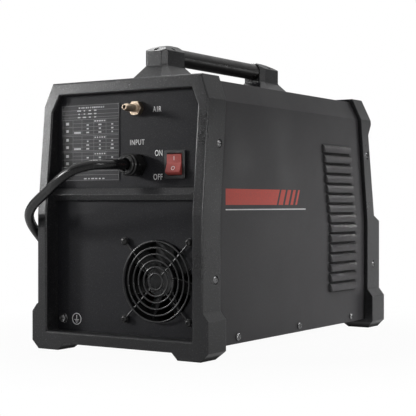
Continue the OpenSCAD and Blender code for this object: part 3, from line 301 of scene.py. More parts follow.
def start_finish(name, roughness, specular=0.5, metallic=0.0, coat=0.0):
    """An empty material with its Principled shader; what is the same all over is set on its sockets."""
    material = bpy.data.materials.new("finish_" + name)
    material.use_nodes = True
    tree = material.node_tree
    shader = next(n for n in tree.nodes if n.type == "BSDF_PRINCIPLED")
    for label, value in (("Roughness", roughness), ("Specular IOR Level", specular), ("Metallic", metallic),
                         ("Coat Weight", coat), ("Coat Roughness", COAT_ROUGHNESS)):
        shader.inputs[label].default_value = value
    return material, tree, shader


def feed(tree, shader, sources):
    """Links outputs to the shader's inputs, by the inputs' names."""
    for label, source in sources.items():
        tree.links.new(source, shader.inputs[label])


def bumped(tree, height, depth, normal=None):
    """A normal that follows height, whose full rise is depth in metres; it starts from normal if there is one."""
    inputs = {"Height": height, "Distance": depth, "Strength": 1.0}
    if normal is not None:
        inputs["Normal"] = normal
    return add_node(tree, "ShaderNodeBump", inputs).outputs["Normal"]


def grained(name, colour, grain, depth, roughness, specular, edge, wear, dust=0.12, amount=0.08, painted_shade_reach=None,
            specks=0.25):
    """Moulded plastic or powder coat: pebbled grain and soft edges paler from wear; given a reach, painted shade
    darkens and dulls its corners and recesses.
    """
    material, tree, shader = start_finish(name, roughness, specular)
    mottle = place_group(tree, "mottle", {"Color": opaque(colour), "Amount": amount, "Dust": dust})
    pebbles = place_group(tree, "surface_grain", {"Size": grain})
    edges = place_group(tree, "soft_edge", {"Radius": edge})
    speckled = blend_colour(tree, calculate(tree, "MULTIPLY", pebbles["Speck"], specks), mottle["Color"],
                            opaque(DUSTY_GREY))
    worn_and_shaded = blend_colour(tree, calculate(tree, "MULTIPLY", edges["Mask"], wear), speckled, opaque(DUSTY_GREY))
    swing = 0.06
    varied = remap(tree, mottle["Cloud"], *WHOLE, roughness - swing, roughness + swing)
    if painted_shade_reach:
        # Painted shade: ambient occlusion blends the colour towards black in corners, creases and recesses, and
        # roughens them.
        hidden, open_air, darkest = 0.4, 0.9, 0.12
        openness = add_node(tree, "ShaderNodeAmbientOcclusion", {"Distance": painted_shade_reach}, samples=6).outputs["AO"]
        shade = remap(tree, openness, hidden, open_air, darkest, 1.0)
        worn_and_shaded = blend_colour(tree, shade, opaque((0.0, 0.0, 0.0)), worn_and_shaded)
        varied = remap(tree, shade, darkest, 1.0, 1.0, varied)
    feed(tree, shader, {"Base Color": worn_and_shaded, "Roughness": varied,
                        "Normal": bumped(tree, pebbles["Height"], depth, edges["Normal"])})
    return material


def polished(name, colour, roughness, edge=0.0006, coat=0.0, dust=0.08, peel_depth=0.00003):
    """Smooth plastic: a faint orange peel, soft edges and fingerprints that dull the gloss."""
    smudge_size, peel_size = 0.012, 0.0022
    wiped, touched = 0.8 * roughness, 1.4 * roughness
    material, tree, shader = start_finish(name, roughness, coat=coat)
    mottle = place_group(tree, "mottle", {"Color": opaque(colour), "Size": smudge_size, "Amount": 0.12, "Dust": dust})
    peel = place_group(tree, "surface_grain", {"Size": peel_size})
    edges = place_group(tree, "soft_edge", {"Radius": edge})
    smudged = remap(tree, mottle["Cloud"], *SMUDGES, wiped, touched)
    feed(tree, shader, {"Base Color": mottle["Color"], "Roughness": smudged,
                        "Normal": bumped(tree, peel["Height"], peel_depth, edges["Normal"])})
    return material


def machined(name, colour, tarnished, roughness, stretch=(90.0, 2600.0, 90.0)):
    """Bare metal: fine tool lines across its length and tarnish in patches."""
    edge, line_depth = 0.0004, 0.00006
    bright, dull = 0.8 * roughness, 1.5 * roughness
    material, tree, shader = start_finish(name, roughness, metallic=1.0)
    lines = place_group(tree, "machining", {"Stretch": stretch})
    edges = place_group(tree, "soft_edge", {"Radius": edge})
    feed(tree, shader, {
        "Base Color": blend_colour(tree, lines["Tarnish"], opaque(colour), opaque(tarnished)),
        "Roughness": remap(tree, lines["Tarnish"], 0.0, 1.0, bright, dull),
        "Normal": bumped(tree, lines["Height"], line_depth, edges["Normal"])})
    return material


def printed(name, colour):
    """Screen-printed ink: thin, a little patchy."""
    material, tree, shader = start_finish(name, roughness=0.5, specular=0.4)
    mottle = place_group(tree, "mottle", {"Color": opaque(colour), "Size": 0.0015, "Amount": 0.12})
    feed(tree, shader, {"Base Color": mottle["Color"], "Roughness": remap(tree, mottle["Cloud"], *WHOLE, 0.4, 0.6)})
    return material


def woven(name, colour):
    """Nylon webbing: two crossing sets of yarns, with painted shade where they sink between each other."""
    yarn_scale, waviness, lean, yarn_depth, shade = 420.0, 0.6, 0.6, 0.0002, 0.45
    material, tree, shader = start_finish(name, roughness=0.75, specular=0.25)
    place = object_place(tree)
    yarns = []
    for turn in (0.0, math.radians(90)):
        turned = add_node(tree, "ShaderNodeMapping", {"Vector": place, "Rotation": (lean, turn, turn)})
        yarns.append(add_node(tree, "ShaderNodeTexWave", {
            "Vector": turned.outputs[0], "Scale": yarn_scale, "Distortion": waviness}).outputs["Fac"])
    height = calculate(tree, "MAXIMUM", *yarns)
    # Painted shade: the colour darkens in the low places between the yarns.
    between = opaque([c * shade for c in colour])
    feed(tree, shader, {"Base Color": blend_colour(tree, height, between, opaque(colour)),
                        "Normal": bumped(tree, height, yarn_depth)})
    return material


def wound_wire(name, colour, turns_scale):
    """Enamelled copper wire laid side by side, with painted shade in the grooves between the turns."""
    wire_depth, waviness, shade = 0.0004, 0.3, 0.3
    material, tree, shader = start_finish(name, roughness=0.3, metallic=0.9)
    turned = add_node(tree, "ShaderNodeMapping", {
        "Vector": object_place(tree), "Rotation": (0.0, math.radians(90), 0.0)})
    turns = add_node(tree, "ShaderNodeTexWave", {
        "Vector": turned.outputs[0], "Scale": turns_scale, "Distortion": waviness}).outputs["Fac"]
    # Painted shade: the colour darkens in the grooves between the turns.
    between = opaque([c * shade for c in colour])
    feed(tree, shader, {"Base Color": blend_colour(tree, turns, between, opaque(colour)),
                        "Normal": bumped(tree, turns, wire_depth)})
    return material


def circuit(name, mask, other_mask, tracks):
    """Solder mask in two close greens with the pale lines of tracks under it."""
    track_scale, track_w, speckle_scale = 60.0, 0.06, 300.0
    material, tree, shader = start_finish(name, roughness=0.35)
    place = object_place(tree)
    board = add_node(tree, "ShaderNodeTexBrick", {
        "Vector": place, "Scale": track_scale, "Mortar Size": track_w, "Color1": opaque(mask),
        "Color2": opaque(other_mask), "Mortar": opaque(tracks)}).outputs["Color"]
    speckle = noise(tree, place, speckle_scale, 2.0)
    feed(tree, shader, {"Base Color": board, "Roughness": remap(tree, speckle, *WHOLE, 0.28, 0.5)})
    return material


EVEN_STRETCH = (900.0, 900.0, 900.0)

# What makes each finish, and with which values; lengths are in metres.
FINISHES = {
    # frame_plastic and cover_paint darken their corners and recesses with painted shade.
    "frame_plastic": (grained, dict(colour=(0.012, 0.012, 0.0135), grain=0.0014, depth=0.00008, roughness=0.32,
                                    specular=0.45, edge=0.0013, wear=0.35, dust=0.01, amount=0.03, painted_shade_reach=0.006,
                                    specks=0.4)),
    "cover_paint": (grained, dict(colour=(0.025, 0.0235, 0.026), grain=0.0007, depth=0.00005, roughness=0.38,
                                  specular=0.3, edge=0.001, wear=0.25, dust=0.03, amount=0.04, painted_shade_reach=0.014)),
    "panel_paint": (grained, dict(colour=(0.010, 0.010, 0.0125), grain=0.0008, depth=0.00005, roughness=0.55,
                                  specular=0.2, edge=0.0006, wear=0.2)),
    "control_face": (grained, dict(colour=(0.02, 0.02, 0.022), grain=0.0005, depth=0.00002, roughness=0.45,
                                   specular=0.35, edge=0.0005, wear=0.1)),
    "handle_gloss": (polished, dict(colour=(0.006, 0.005, 0.005), roughness=0.34, edge=0.0002, dust=0.0,
                                    peel_depth=0.000004)),
    "dark_screw": (machined, dict(colour=(0.28, 0.28, 0.285), tarnished=(0.12, 0.12, 0.12), roughness=0.17,
                                  stretch=EVEN_STRETCH)),
    "fan_plastic": (grained, dict(colour=(0.014, 0.014, 0.015), grain=0.0009, depth=0.00004, roughness=0.42,
                                  specular=0.4, edge=0.0008, wear=0.1)),
    "guard_wire": (polished, dict(colour=(0.012, 0.012, 0.013), roughness=0.32, coat=0.2)),
    "fan_screw": (machined, dict(colour=(0.05, 0.05, 0.05), tarnished=(0.02, 0.02, 0.02), roughness=0.4,
                                 stretch=EVEN_STRETCH)),
    "switch_black": (polished, dict(colour=(0.018, 0.018, 0.019), roughness=0.38)),
    "rocker_red": (polished, dict(colour=(0.42, 0.07, 0.06), roughness=0.36, coat=0.1)),
    "gland_nylon": (polished, dict(colour=(0.006, 0.006, 0.006), roughness=0.3)),
    "seal_rubber": (grained, dict(colour=(0.012, 0.012, 0.012), grain=0.0005, depth=0.00003, roughness=0.7,
                                  specular=0.3, edge=0.0004, wear=0.1)),
    "brass": (machined, dict(colour=(0.6, 0.49, 0.38), tarnished=(0.36, 0.28, 0.2), roughness=0.4)),
    "zinc_steel": (machined, dict(colour=(0.62, 0.62, 0.6), tarnished=(0.4, 0.4, 0.38), roughness=0.3)),
    "plate_film": (grained, dict(colour=(0.02, 0.02, 0.023), grain=0.0004, depth=0.00001, roughness=0.5,
                                 specular=0.3, edge=0.0003, wear=0.1)),
    "knob_plastic": (polished, dict(colour=(0.016, 0.016, 0.017), roughness=0.4)),
    "display_glass": (polished, dict(colour=(0.05, 0.008, 0.008), roughness=0.12, coat=0.6)),
    "lamp_lens": (polished, dict(colour=(0.25, 0.4, 0.08), roughness=0.15, coat=0.6)),
    "socket_insulator": (polished, dict(colour=(0.016, 0.016, 0.016), roughness=0.42)),
    "coil_plastic": (polished, dict(colour=(0.02, 0.02, 0.022), roughness=0.4)),
    "air_hose": (polished, dict(colour=(0.05, 0.12, 0.35), roughness=0.35)),
    "circuit_board": (circuit, dict(mask=(0.01, 0.09, 0.03), other_mask=(0.012, 0.07, 0.03),
                                    tracks=(0.03, 0.18, 0.07))),
    "heat_sink_metal": (machined, dict(colour=(0.75, 0.76, 0.78), tarnished=(0.55, 0.56, 0.58), roughness=0.35,
                                       stretch=(2600.0, 60.0, 2600.0))),
    "capacitor_sleeve": (polished, dict(colour=(0.02, 0.04, 0.12), roughness=0.3)),
    "ferrite": (grained, dict(colour=(0.035, 0.034, 0.034), grain=0.001, depth=0.00004, roughness=0.6,
                              specular=0.4, edge=0.0006, wear=0.2)),
    "copper_winding": (wound_wire, dict(colour=(0.75, 0.3, 0.12), turns_scale=180.0)),
    "cord_rubber": (grained, dict(colour=(0.004, 0.004, 0.0045), grain=0.0012, depth=0.00003, roughness=0.26,
                                  specular=0.4, edge=0.0004, wear=0.0)),
    "tie_fabric": (woven, dict(colour=(0.035, 0.035, 0.038))),
    "plug_rubber": (grained, dict(colour=(0.016, 0.016, 0.017), grain=0.0009, depth=0.00005, roughness=0.5,
                                  specular=0.45, edge=0.0012, wear=0.15)),
    "plug_pin": (machined, dict(colour=(0.8, 0.7, 0.45), tarnished=(0.6, 0.5, 0.3), roughness=0.25)),
    "white_ink": (printed, dict(colour=(0.82, 0.82, 0.82))),
    "grey_ink": (printed, dict(colour=(0.27, 0.27, 0.275))),
    "red_ink": (printed, dict(colour=(0.56, 0.085, 0.065))),
    "pale_ink": (printed, dict(colour=(0.62, 0.62, 0.63))),
    "black_ink": (printed, dict(colour=(0.006, 0.006, 0.006))),
    "lit_red": (printed, dict(colour=(0.7, 0.05, 0.03))),
}
finished = {}


def finish(name):
    """The material of that name, made once."""
    if name not in finished:
        maker, values = FINISHES[name]
        finished[name] = maker(name, **values)
    return finished[name]


def dress_cad_nodes():
    """Every CAD node gets the finish that its slot names."""
    for node in nodes.values():
        for slot in node.material_slots:
            slot.material = finish(slot.material.name)


dress_cad_nodes()


# ---------------------------------------------------------------- repeated pieces

INTEGER, MATERIAL = "NodeSocketInt", "NodeSocketMaterial"


def block_grid_tree():
    """Blocks in rows and columns round the origin; their widths vary down to Least, steered by Seed."""
    tree = bpy.data.node_groups.new("block_grid", "GeometryNodeTree")
    for label, kind in (("Columns", INTEGER), ("Rows", INTEGER), ("Column Step", FLOAT), ("Row Step", FLOAT),
                        ("Block", VECTOR), ("Least", FLOAT), ("Seed", INTEGER), ("Material", MATERIAL)):
        tree.interface.new_socket(label, in_out="INPUT", socket_type=kind)
    tree.interface.new_socket("Geometry", in_out="OUTPUT", socket_type="NodeSocketGeometry")
    given = tree.nodes.new("NodeGroupInput").outputs
    across = calculate(tree, "MULTIPLY", calculate(tree, "SUBTRACT", given["Columns"], 1), given["Column Step"])
    down = calculate(tree, "MULTIPLY", calculate(tree, "SUBTRACT", given["Rows"], 1), given["Row Step"])
    grid = add_node(tree, "GeometryNodeMeshGrid", {
        "Size X": across, "Size Y": down, "Vertices X": given["Columns"], "Vertices Y": given["Rows"]}).outputs[0]
    block = add_node(tree, "GeometryNodeMeshCube", {"Size": given["Block"]}).outputs[0]
    share = add_node(tree, "FunctionNodeRandomValue", {
        "Min": given["Least"], "Max": 1.0, "Seed": given["Seed"]}, data_type="FLOAT")
    width = next(o for o in share.outputs if o.enabled)
    scale = add_node(tree, "ShaderNodeCombineXYZ", {"X": width, "Y": 1.0, "Z": 1.0}).outputs[0]
    placed = add_node(tree, "GeometryNodeInstanceOnPoints", {"Points": grid, "Instance": block, "Scale": scale})
    plain = add_node(tree, "GeometryNodeRealizeInstances", {0: placed.outputs[0]}).outputs[0]
    dressed = add_node(tree, "GeometryNodeSetMaterial", {"Geometry": plain, "Material": given["Material"]})
    tree.links.new(dressed.outputs[0], tree.nodes.new("NodeGroupOutput").inputs["Geometry"])
    return tree


BLOCK_GRID = block_grid_tree()


def block_grid(name, values, place, look, slot="plate_film"):
    """Runs the tree with its values, by name, and keeps the blocks as a plain piece at their place."""
    holder = bpy.data.objects.new(name, bpy.data.meshes.new(name + "_start"))
    bpy.context.scene.collection.objects.link(holder)
    modifier = holder.modifiers.new("repeat", "NODES")
    modifier.node_group = BLOCK_GRID
    for item in BLOCK_GRID.interface.items_tree:
        if item.in_out == "INPUT":
            modifier[item.identifier] = finish(look) if item.name == "Material" else values[item.name]
    mesh = bpy.data.meshes.new_from_object(holder.evaluated_get(bpy.context.evaluated_depsgraph_get()))
    holder.modifiers.remove(modifier)
    bpy.data.objects.remove(holder)
    mesh.name = name
    mesh.transform(place)
    return link_mesh(name, mesh, "root", slot, look)


# ---------------------------------------------------------------- mains cord

# The route's points and the coil's sizes are in mm.
CORD_D = 10.5
CORD_SIDES = 20
ROUTE_STEPS = 6
CORD_RUN = [
    (-15, 210, 200), (-15, 221, 200), (-11, 236, 200), (0, 249, 199), (14, 257, 195), (28, 258, 189),
    (43, 255, 181), (60, 248, 173), (78, 241, 165), (94, 234, 157), (106, 226, 149), (114, 216, 141),
    (119, 204, 132), (121, 190, 121), (121, 174, 107), (121, 158, 92), (121, 142, 77), (121, 126, 62),
    (121, 110, 48), (121, 93, 35), (121, 75, 24), (121, 57, 15.5), (122, 38, 9.8), (124, 20, 7.3),
    (127, 1, 6.8), (128, -15, 6.8), (128, -29.5, 6.8)]
CORD_TAIL = [
    (128, -50.5, 17.9), (128, -61, 17.9), (130, -76, 15.5), (135, -92, 12), (141, -108, 9.6),
    (146, -123, 8.7), (148, -136, 8.5), (148, -148, 8.5)]
COIL_MIDDLE = (196, -40)
COIL_RADIUS = 68
COIL_TURNS = 5
COIL_LOW = 6.8
COIL_PITCH = 11.1
COIL_STEPS = 48
CLIMB_TURNS = 0.5
STRAP_CLEARANCE = 0.15
STRAP_OUTSIDE = 1.25
STRAP_W = 14


def coil_route():
    """Loops that spiral in on the lower layer, climb, and spiral out again on the upper one."""
    half = COIL_TURNS / 2
    route = []
    for i in range(COIL_TURNS * COIL_STEPS + 1):
        t = i / COIL_STEPS
        radius = COIL_RADIUS - COIL_PITCH * min(t, COIL_TURNS - t)
        climb = min(max((t - half + CLIMB_TURNS / 2) / CLIMB_TURNS, 0), 1)
        turn = math.pi + 2 * math.pi * t
        route.append((COIL_MIDDLE[0] + radius * math.cos(turn), COIL_MIDDLE[1] + radius * math.sin(turn),
                      COIL_LOW + COIL_PITCH * climb * climb * (3 - 2 * climb)))
    return route


def route_length(points):
    return sum((b - a).length for a, b in zip(points, points[1:]))


def mains_cord():
    """The whole cord from the gland to the plug in one piece."""
    run = rounded([metres(p) for p in CORD_RUN], ROUTE_STEPS)
    coil = [metres(p) for p in coil_route()]
    tail = rounded([metres(p) for p in CORD_TAIL], ROUTE_STEPS)
    route = run + coil + tail
    mesh = tube("mains_cord", route, lambda _: CORD_D / 2 * MM, CORD_SIDES)
    cord = link_mesh("mains_cord", mesh, "root", "cord_rubber")
    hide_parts("mains_cord_run", "mains_cord_coil", "mains_cord_tail")
    return cord, route, tail


def plug_sleeve(tail):
    """Ribbed, tapered sleeve that keeps the cord from kinking at the plug."""
    rib_pitch, rib_depth = 3.2 * MM, 0.7 * MM
    thin_end, thick_end = 6.1 * MM, 8.0 * MM
    sleeve_l = 30 * MM
    points = [tail[-1]]
    for point in reversed(tail[:-1]):
        if route_length(points) > sleeve_l:
            break
        points.append(point)
    points = rounded(points[::-1], ROUTE_STEPS)
    length = route_length(points)

    def radius(travelled):
        share = travelled / length
        rib = 0.5 + 0.5 * math.cos(2 * math.pi * travelled / rib_pitch)
        return thin_end + (thick_end - thin_end) * share - rib_depth * rib * (1 - share ** 4)

    return link_mesh("plug_sleeve", tube("plug_sleeve", points, radius, sides=28), "root", "plug_rubber")


def hull(points):
    """Convex outline round flat points, counter-clockwise."""
    def half(ordered):
        chain = []
        for p in ordered:
            while len(chain) > 1 and ((chain[-1][0] - chain[-2][0]) * (p[1] - chain[-2][1])
                                      <= (chain[-1][1] - chain[-2][1]) * (p[0] - chain[-2][0])):
                chain.pop()
            chain.append(p)
        return chain[:-1]
    ordered = sorted(set(points))
    return half(ordered) + half(ordered[::-1])


def strap_outline(grow):
    """The strap's way round the cords that it crosses, grow mm off them: radius from the coil's middle, height."""
    cords = [(COIL_RADIUS - COIL_PITCH * k, COIL_LOW + COIL_PITCH * up) for k in (0.5, 1.5) for up in (0, 1)]
    cords.append((COIL_RADIUS - COIL_PITCH * 2.5, COIL_LOW + COIL_PITCH / 2))
    around = [math.radians(a) for a in range(0, 360, 10)]
    reach = CORD_D / 2 + grow
    return hull([(round(r + reach * math.cos(a), 4), round(z + reach * math.sin(a), 4))
                 for r, z in cords for a in around])


def strap_tie():
    """A webbing strap round the coil, its end sewn down on top, which takes the place of the simple band."""
    work = bmesh.new()
    rings = []
    for outline in (strap_outline(STRAP_CLEARANCE), strap_outline(STRAP_OUTSIDE)):
        for y in (-STRAP_W / 2, STRAP_W / 2):
            rings.append([work.verts.new(metres((COIL_MIDDLE[0] + r, COIL_MIDDLE[1] + y, z))) for r, z in outline])
    inner_a, inner_b, outer_a, outer_b = rings
    for first, second in ((inner_a, inner_b), (outer_a, outer_b)):
        for k in range(len(first)):
            n = (k + 1) % len(first)
            work.faces.new((first[k], first[n], second[n], second[k]))
    for inside, outside in ((inner_a, outer_a), (inner_b, outer_b)):
        edges = [work.edges.get((ring[k], ring[(k + 1) % len(ring)])) for ring in (inside, outside)
                 for k in range(len(ring))]
        bmesh.ops.triangle_fill(work, edges=edges, use_beauty=True)
    band = link_mesh("strap_tie", mesh_from("strap_tie", work, smooth_degrees=30), "root", "tie_fabric")
    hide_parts("cord_tie")
    top = COIL_LOW + COIL_PITCH + CORD_D / 2 + STRAP_OUTSIDE
    place = Matrix.Translation(metres((COIL_MIDDLE[0] + COIL_RADIUS - COIL_PITCH, COIL_MIDDLE[1], top)))
    stitches = block_grid("strap_stitches", {
        "Columns": 2, "Rows": 6, "Column Step": 8 * MM, "Row Step": 2.1 * MM,
        "Block": (0.35 * MM, 1.3 * MM, 0.3 * MM), "Least": 0.9, "Seed": 3}, place, "grey_ink", slot="tie_fabric")
    return band, stitches


cord, cord_route, cord_tail = mains_cord()
sleeve = plug_sleeve(cord_tail)
tie, tie_stitches = strap_tie()


# ---------------------------------------------------------------- lettering and printed marks

REAR_PANEL_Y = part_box("rear_panel")[1][1]
INK = 0.06 * MM
CAP_SHARE = 0.69


def flat_shape(name, outlines, place, look, body="root", slot="plate_film"):
    """Thin ink areas: outlines are lists of points in the ink's own plane, in mm; place takes them to the part."""
    work = bmesh.new()
    for outline in outlines:
        face = work.faces.new([work.verts.new((x * MM, y * MM, 0)) for x, y in outline])
        lifted = bmesh.ops.extrude_face_region(work, geom=[face])
        bmesh.ops.translate(work, verts=[v for v in lifted["geom"] if isinstance(v, bmesh.types.BMVert)],
                            vec=(0, 0, INK))
    bmesh.ops.transform(work, matrix=place, verts=work.verts)
    return link_mesh(name, mesh_from(name, work), body, slot, look)


def oblong(x0, y0, x1, y1):
    return [(x0, y0), (x1, y0), (x1, y1), (x0, y1)]


def ring(radius, width):
    """A ring as a row of small quads."""
    quads = []
    steps = 48
    inner, outer = radius - width / 2, radius + width / 2
    for k in range(steps):
        a, b = (math.radians(360.0 * (k + e) / steps) for e in (0, 1))
        quads.append([(inner * math.cos(a), inner * math.sin(a)), (outer * math.cos(a), outer * math.sin(a)),
                      (outer * math.cos(b), outer * math.sin(b)), (inner * math.cos(b), inner * math.sin(b))])
    return quads


def letters(name, words, cap_height, place, slot="plate_film", spread=1.0, narrow=0.74, bolder=0.012):
    """Plain words in white ink, centred on place; cap_height is in mm, and bolder widens the strokes."""
    curve = bpy.data.curves.new(name, "FONT")
    curve.body = words
    curve.align_x = "CENTER"
    curve.align_y = "CENTER"
    curve.size = cap_height * MM / CAP_SHARE
    curve.extrude = INK / 2
    curve.offset = bolder * cap_height * MM
    curve.space_character = spread
    holder = bpy.data.objects.new(name, curve)
    bpy.context.scene.collection.objects.link(holder)
    evaluated = holder.evaluated_get(bpy.context.evaluated_depsgraph_get())
    mesh = bpy.data.meshes.new_from_object(evaluated)
    bpy.data.objects.remove(holder)
    mesh.name = name
    mesh.transform(place @ Matrix.Translation((0, 0, INK / 2)) @ Matrix.Diagonal((narrow, 1, 1, 1)))
    return link_mesh(name, mesh, "root", slot, "white_ink")


def on_rear(x, z, y=REAR_PANEL_Y):
    """Takes a flat drawing to the rear panel, read from behind the machine; x and z are in mm, y in metres."""
    return Matrix.Translation((x * MM, y, z * MM)) @ Matrix((
        (-1, 0, 0, 0), (0, 0, 1, 0), (0, 1, 0, 0), (0, 0, 0, 1)))


def rear_legends():
    letters("legend_on", "ON", 6.0, on_rear(-42, 212), bolder=0.016)
    letters("legend_off", "OFF", 6.0, on_rear(-41, 187), spread=1.1, bolder=0.02)
    letters("legend_air", "AIR", 5.6, on_rear(-40, 258), spread=1.25, bolder=0.016)
    letters("legend_input", "INPUT", 5.5, on_rear(-14, 224), spread=1.2, bolder=0.018)


def earth_mark():
    """The common sign for protective earth: a stem on three bars of falling length, in a ring."""
    bar_step = 1.5
    bars = [oblong(-0.45, -0.6, 0.45, 4.2)]
    for i, half_l in enumerate((3.2, 2.1, 1.0)):
        bars.append(oblong(-half_l, -1.2 - i * bar_step, half_l, -0.5 - i * bar_step))
    flat_shape("earth_mark", ring(6.0, 0.9) + bars, on_rear(68.5, 33), "white_ink")


def data_plate_marks():
    """Rules, dark cells and dashes of a rating plate, without any words. Sizes are in mm, from its top and middle."""
    margin, rule = 1, 0.3
    low, high = (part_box("data_plate")[end] for end in (0, 1))
    half_w = (high[0] - low[0]) / MM / 2 - margin
    centre_x = (high[0] + low[0]) / MM / 2
    top, bottom = high[2] / MM - margin, low[2] / MM + margin
    columns = [-half_w + 2 * half_w * share for share in (0, 0.196, 0.357, 0.567, 0.781, 1)]
    middles = [(a + b) / 2 for a, b in zip(columns, columns[1:])]
    blocks = [(top - drop, top - drop - 16.2) for drop in (15.4, 33.2, 51.0)]
    row_step = 4.05

    def at(x, z):
        return on_rear(centre_x - x, z, high[1])

    def across(z, start=-half_w):
        return oblong(start, z - rule / 2, half_w, z + rule / 2)

    def upright(x, z0, z1):
        return oblong(x - rule / 2, z0, x + rule / 2, z1)

    rules = [across(z) for z in [top, bottom] + [top - drop for drop in (5.2, 9.6, 13.0, 71.5, 75.8)]]
    for block_high, block_low in blocks:
        rules += [across(block_high - i * row_step, columns[i % 2]) for i in range(5)]
        rules += [upright(x, block_low, block_high) for x in columns]
    rules += [upright(x, bottom, top) for x in (-half_w, half_w)]
    flat_shape("plate_rules", rules, at(0, 0), "grey_ink")

    cells = []
    for block_high, block_low in blocks:
        middle_z = (block_high + block_low) / 2
        for z0, z1 in ((block_low, middle_z), (middle_z, block_high)):
            cells.append(oblong(columns[0] + 1, z0 + 0.8, columns[1] - 0.8, z1 - 0.8))
    for z in (top - 1, top - 5.6, top - 10):
        cells.append(oblong(columns[0] + 1, z - 3, columns[0] + 9, z - 0.4))
    flat_shape("plate_cells", cells, at(0, 0), "black_ink")

    def dashes(name, x, z, columns_n, rows_n, step, block, least, seed):
        block_grid(name, {
            "Columns": columns_n, "Rows": rows_n, "Column Step": step[0] * MM, "Row Step": step[1] * MM,
            "Block": (block[0] * MM, block[1] * MM, 2 * INK), "Least": least, "Seed": seed},
            at(x, z) @ Matrix.Translation((0, 0, 0.6 * INK)), "pale_ink")

    dashes("plate_title", 2, top - 2.6, 14, 1, (2.6, 1), (1.9, 1.7), 0.4, 4)
    dashes("plate_maker_lines", -4, top - 9.4, 4, 3, (7.5, 3.6), (5.6, 1.3), 0.3, 9)
    values_step = (columns[4] - columns[3], row_step)
    for i, (block_high, block_low) in enumerate(blocks):
        row = [block_high - (k + 0.5) * row_step for k in range(4)]
        dashes(f"plate_heads_{i}", middles[3], row[0], 5, 1, (3.2, 1), (2.5, 1.5), 0.5, i)
        dashes(f"plate_values_{i}", middles[3], row[2], 3, 3, values_step, (4.6, 1.5), 0.35, 20 + i)
        dashes(f"plate_grades_{i}", middles[1], row[3], 1, 1, (1, 1), (9.5, 2.0), 1.0, i)
        dashes(f"plate_signs_{i}", middles[0], (block_high + block_low) / 2, 1, 2, (1, 8.1), (4.2, 3.0), 0.8, 30 + i)
    dashes("plate_foot", 6, bottom + 1.6, 6, 1, (5, 1), (4.4, 1.3), 0.4, 12)


ROCKER_PIVOT = (-63.7, 190, 200)
ROCKER_SWING = 22
ROCKER_RISE = 4.4


def rocker_marks():
    """A line on the rocker's upper half and a ring on its lower, outstanding half."""
    half_swing = math.radians(ROCKER_SWING / 2)
    valley = Vector((ROCKER_PIVOT[0], ROCKER_PIVOT[1] + ROCKER_RISE * math.cos(half_swing),
                     ROCKER_PIVOT[2] + ROCKER_RISE * math.sin(half_swing)))
    upright = on_rear(valley.x, valley.z, valley.y * MM)
    flat_shape("rocker_line", [oblong(-0.35, 3.4, 0.35, 7.6)], upright, "white_ink", "power_rocker", "rocker_red")
    leaning = upright @ Matrix.Rotation(math.radians(-ROCKER_SWING), 4, "X")
    ring_drop = 5.2
    flat_shape("rocker_ring", [[(x, y - ring_drop) for x, y in quad] for quad in ring(1.9, 0.6)], leaning,
               "white_ink", "power_rocker", "rocker_red")


def side_stripe():
    """A plain red stripe along the cover that ends in slanted bars, over a thin white line."""
    cover_x, start = -104.5, -159
    place = Matrix.Translation((cover_x * MM, 0, 0)) @ Matrix((
        (0, 0, -1, 0), (-1, 0, 0, 0), (0, 1, 0, 0), (0, 0, 0, 1)))
    low, high, slant = 158, 175, 7
    edges = [(start, -52), (-48, -38), (-33.5, -25.5), (-20.5, -14.5), (-9, -5)]
    bars = [[(a, low), (b, low), (b + slant, high), (a + (slant if a > start else 0), high)] for a, b in edges]
    flat_shape("side_stripe", bars, place, "red_ink", slot="cover_paint")
    flat_shape("side_line", [oblong(start, 152.5, 16, 153.7)], place, "white_ink", slot="cover_paint")


SLOPE_SIN, SLOPE_COS = 0.16763, 0.98585
CONTROLS_Y, CONTROLS_Z = -0.177856, 0.194159
KNOB = (44, -6)
DISPLAY = (-22, 18)
DIGIT_STROKES = {"4": "bcfg", "0": "abcdef"}
DIAL_START = 225
DIAL_SWEEP = 270


def on_controls(x, y, rise=-0.1):
    """Takes a flat drawing to the sloped control panel: x along it, y up the slope, rise out of it, in mm."""
    basis = Matrix(((1, 0, 0, 0), (0, SLOPE_SIN, -SLOPE_COS, CONTROLS_Y), (0, SLOPE_COS, SLOPE_SIN, CONTROLS_Z),
                    (0, 0, 0, 1)))
    return basis @ Matrix.Translation(metres((x, y, rise)))


def dial_marks():
    """Ticks and plain numbers round the knob, and its pointer."""
    near, number_radius = 17.6, 24.6
    gaps = 20
    ticks = []
    for i in range(gaps + 1):
        turn = math.radians(DIAL_START - DIAL_SWEEP / gaps * i)
        far, half_w = (20.6, 0.3) if i % 2 == 0 else (19.2, 0.18)
        out = Vector((math.cos(turn), math.sin(turn)))
        side = Vector((-out.y, out.x)) * half_w
        ticks.append([tuple(c) for c in (out * near - side, out * far - side, out * far + side, out * near + side)])
    flat_shape("dial_ticks", ticks, on_controls(*KNOB), "white_ink", slot="control_face")
    for number in range(0, 11, 2):
        turn = math.radians(DIAL_START - DIAL_SWEEP / 10 * number)
        x, y = KNOB[0] + number_radius * math.cos(turn), KNOB[1] + number_radius * math.sin(turn)
        letters(f"dial_{number}", str(number), 3.4, on_controls(x, y), slot="control_face", narrow=0.85)
    flat_shape("knob_pointer", [oblong(-0.5, 3.2, 0.5, 9.5)], on_controls(*KNOB, 14.6), "white_ink",
               "current_knob", "knob_plastic")


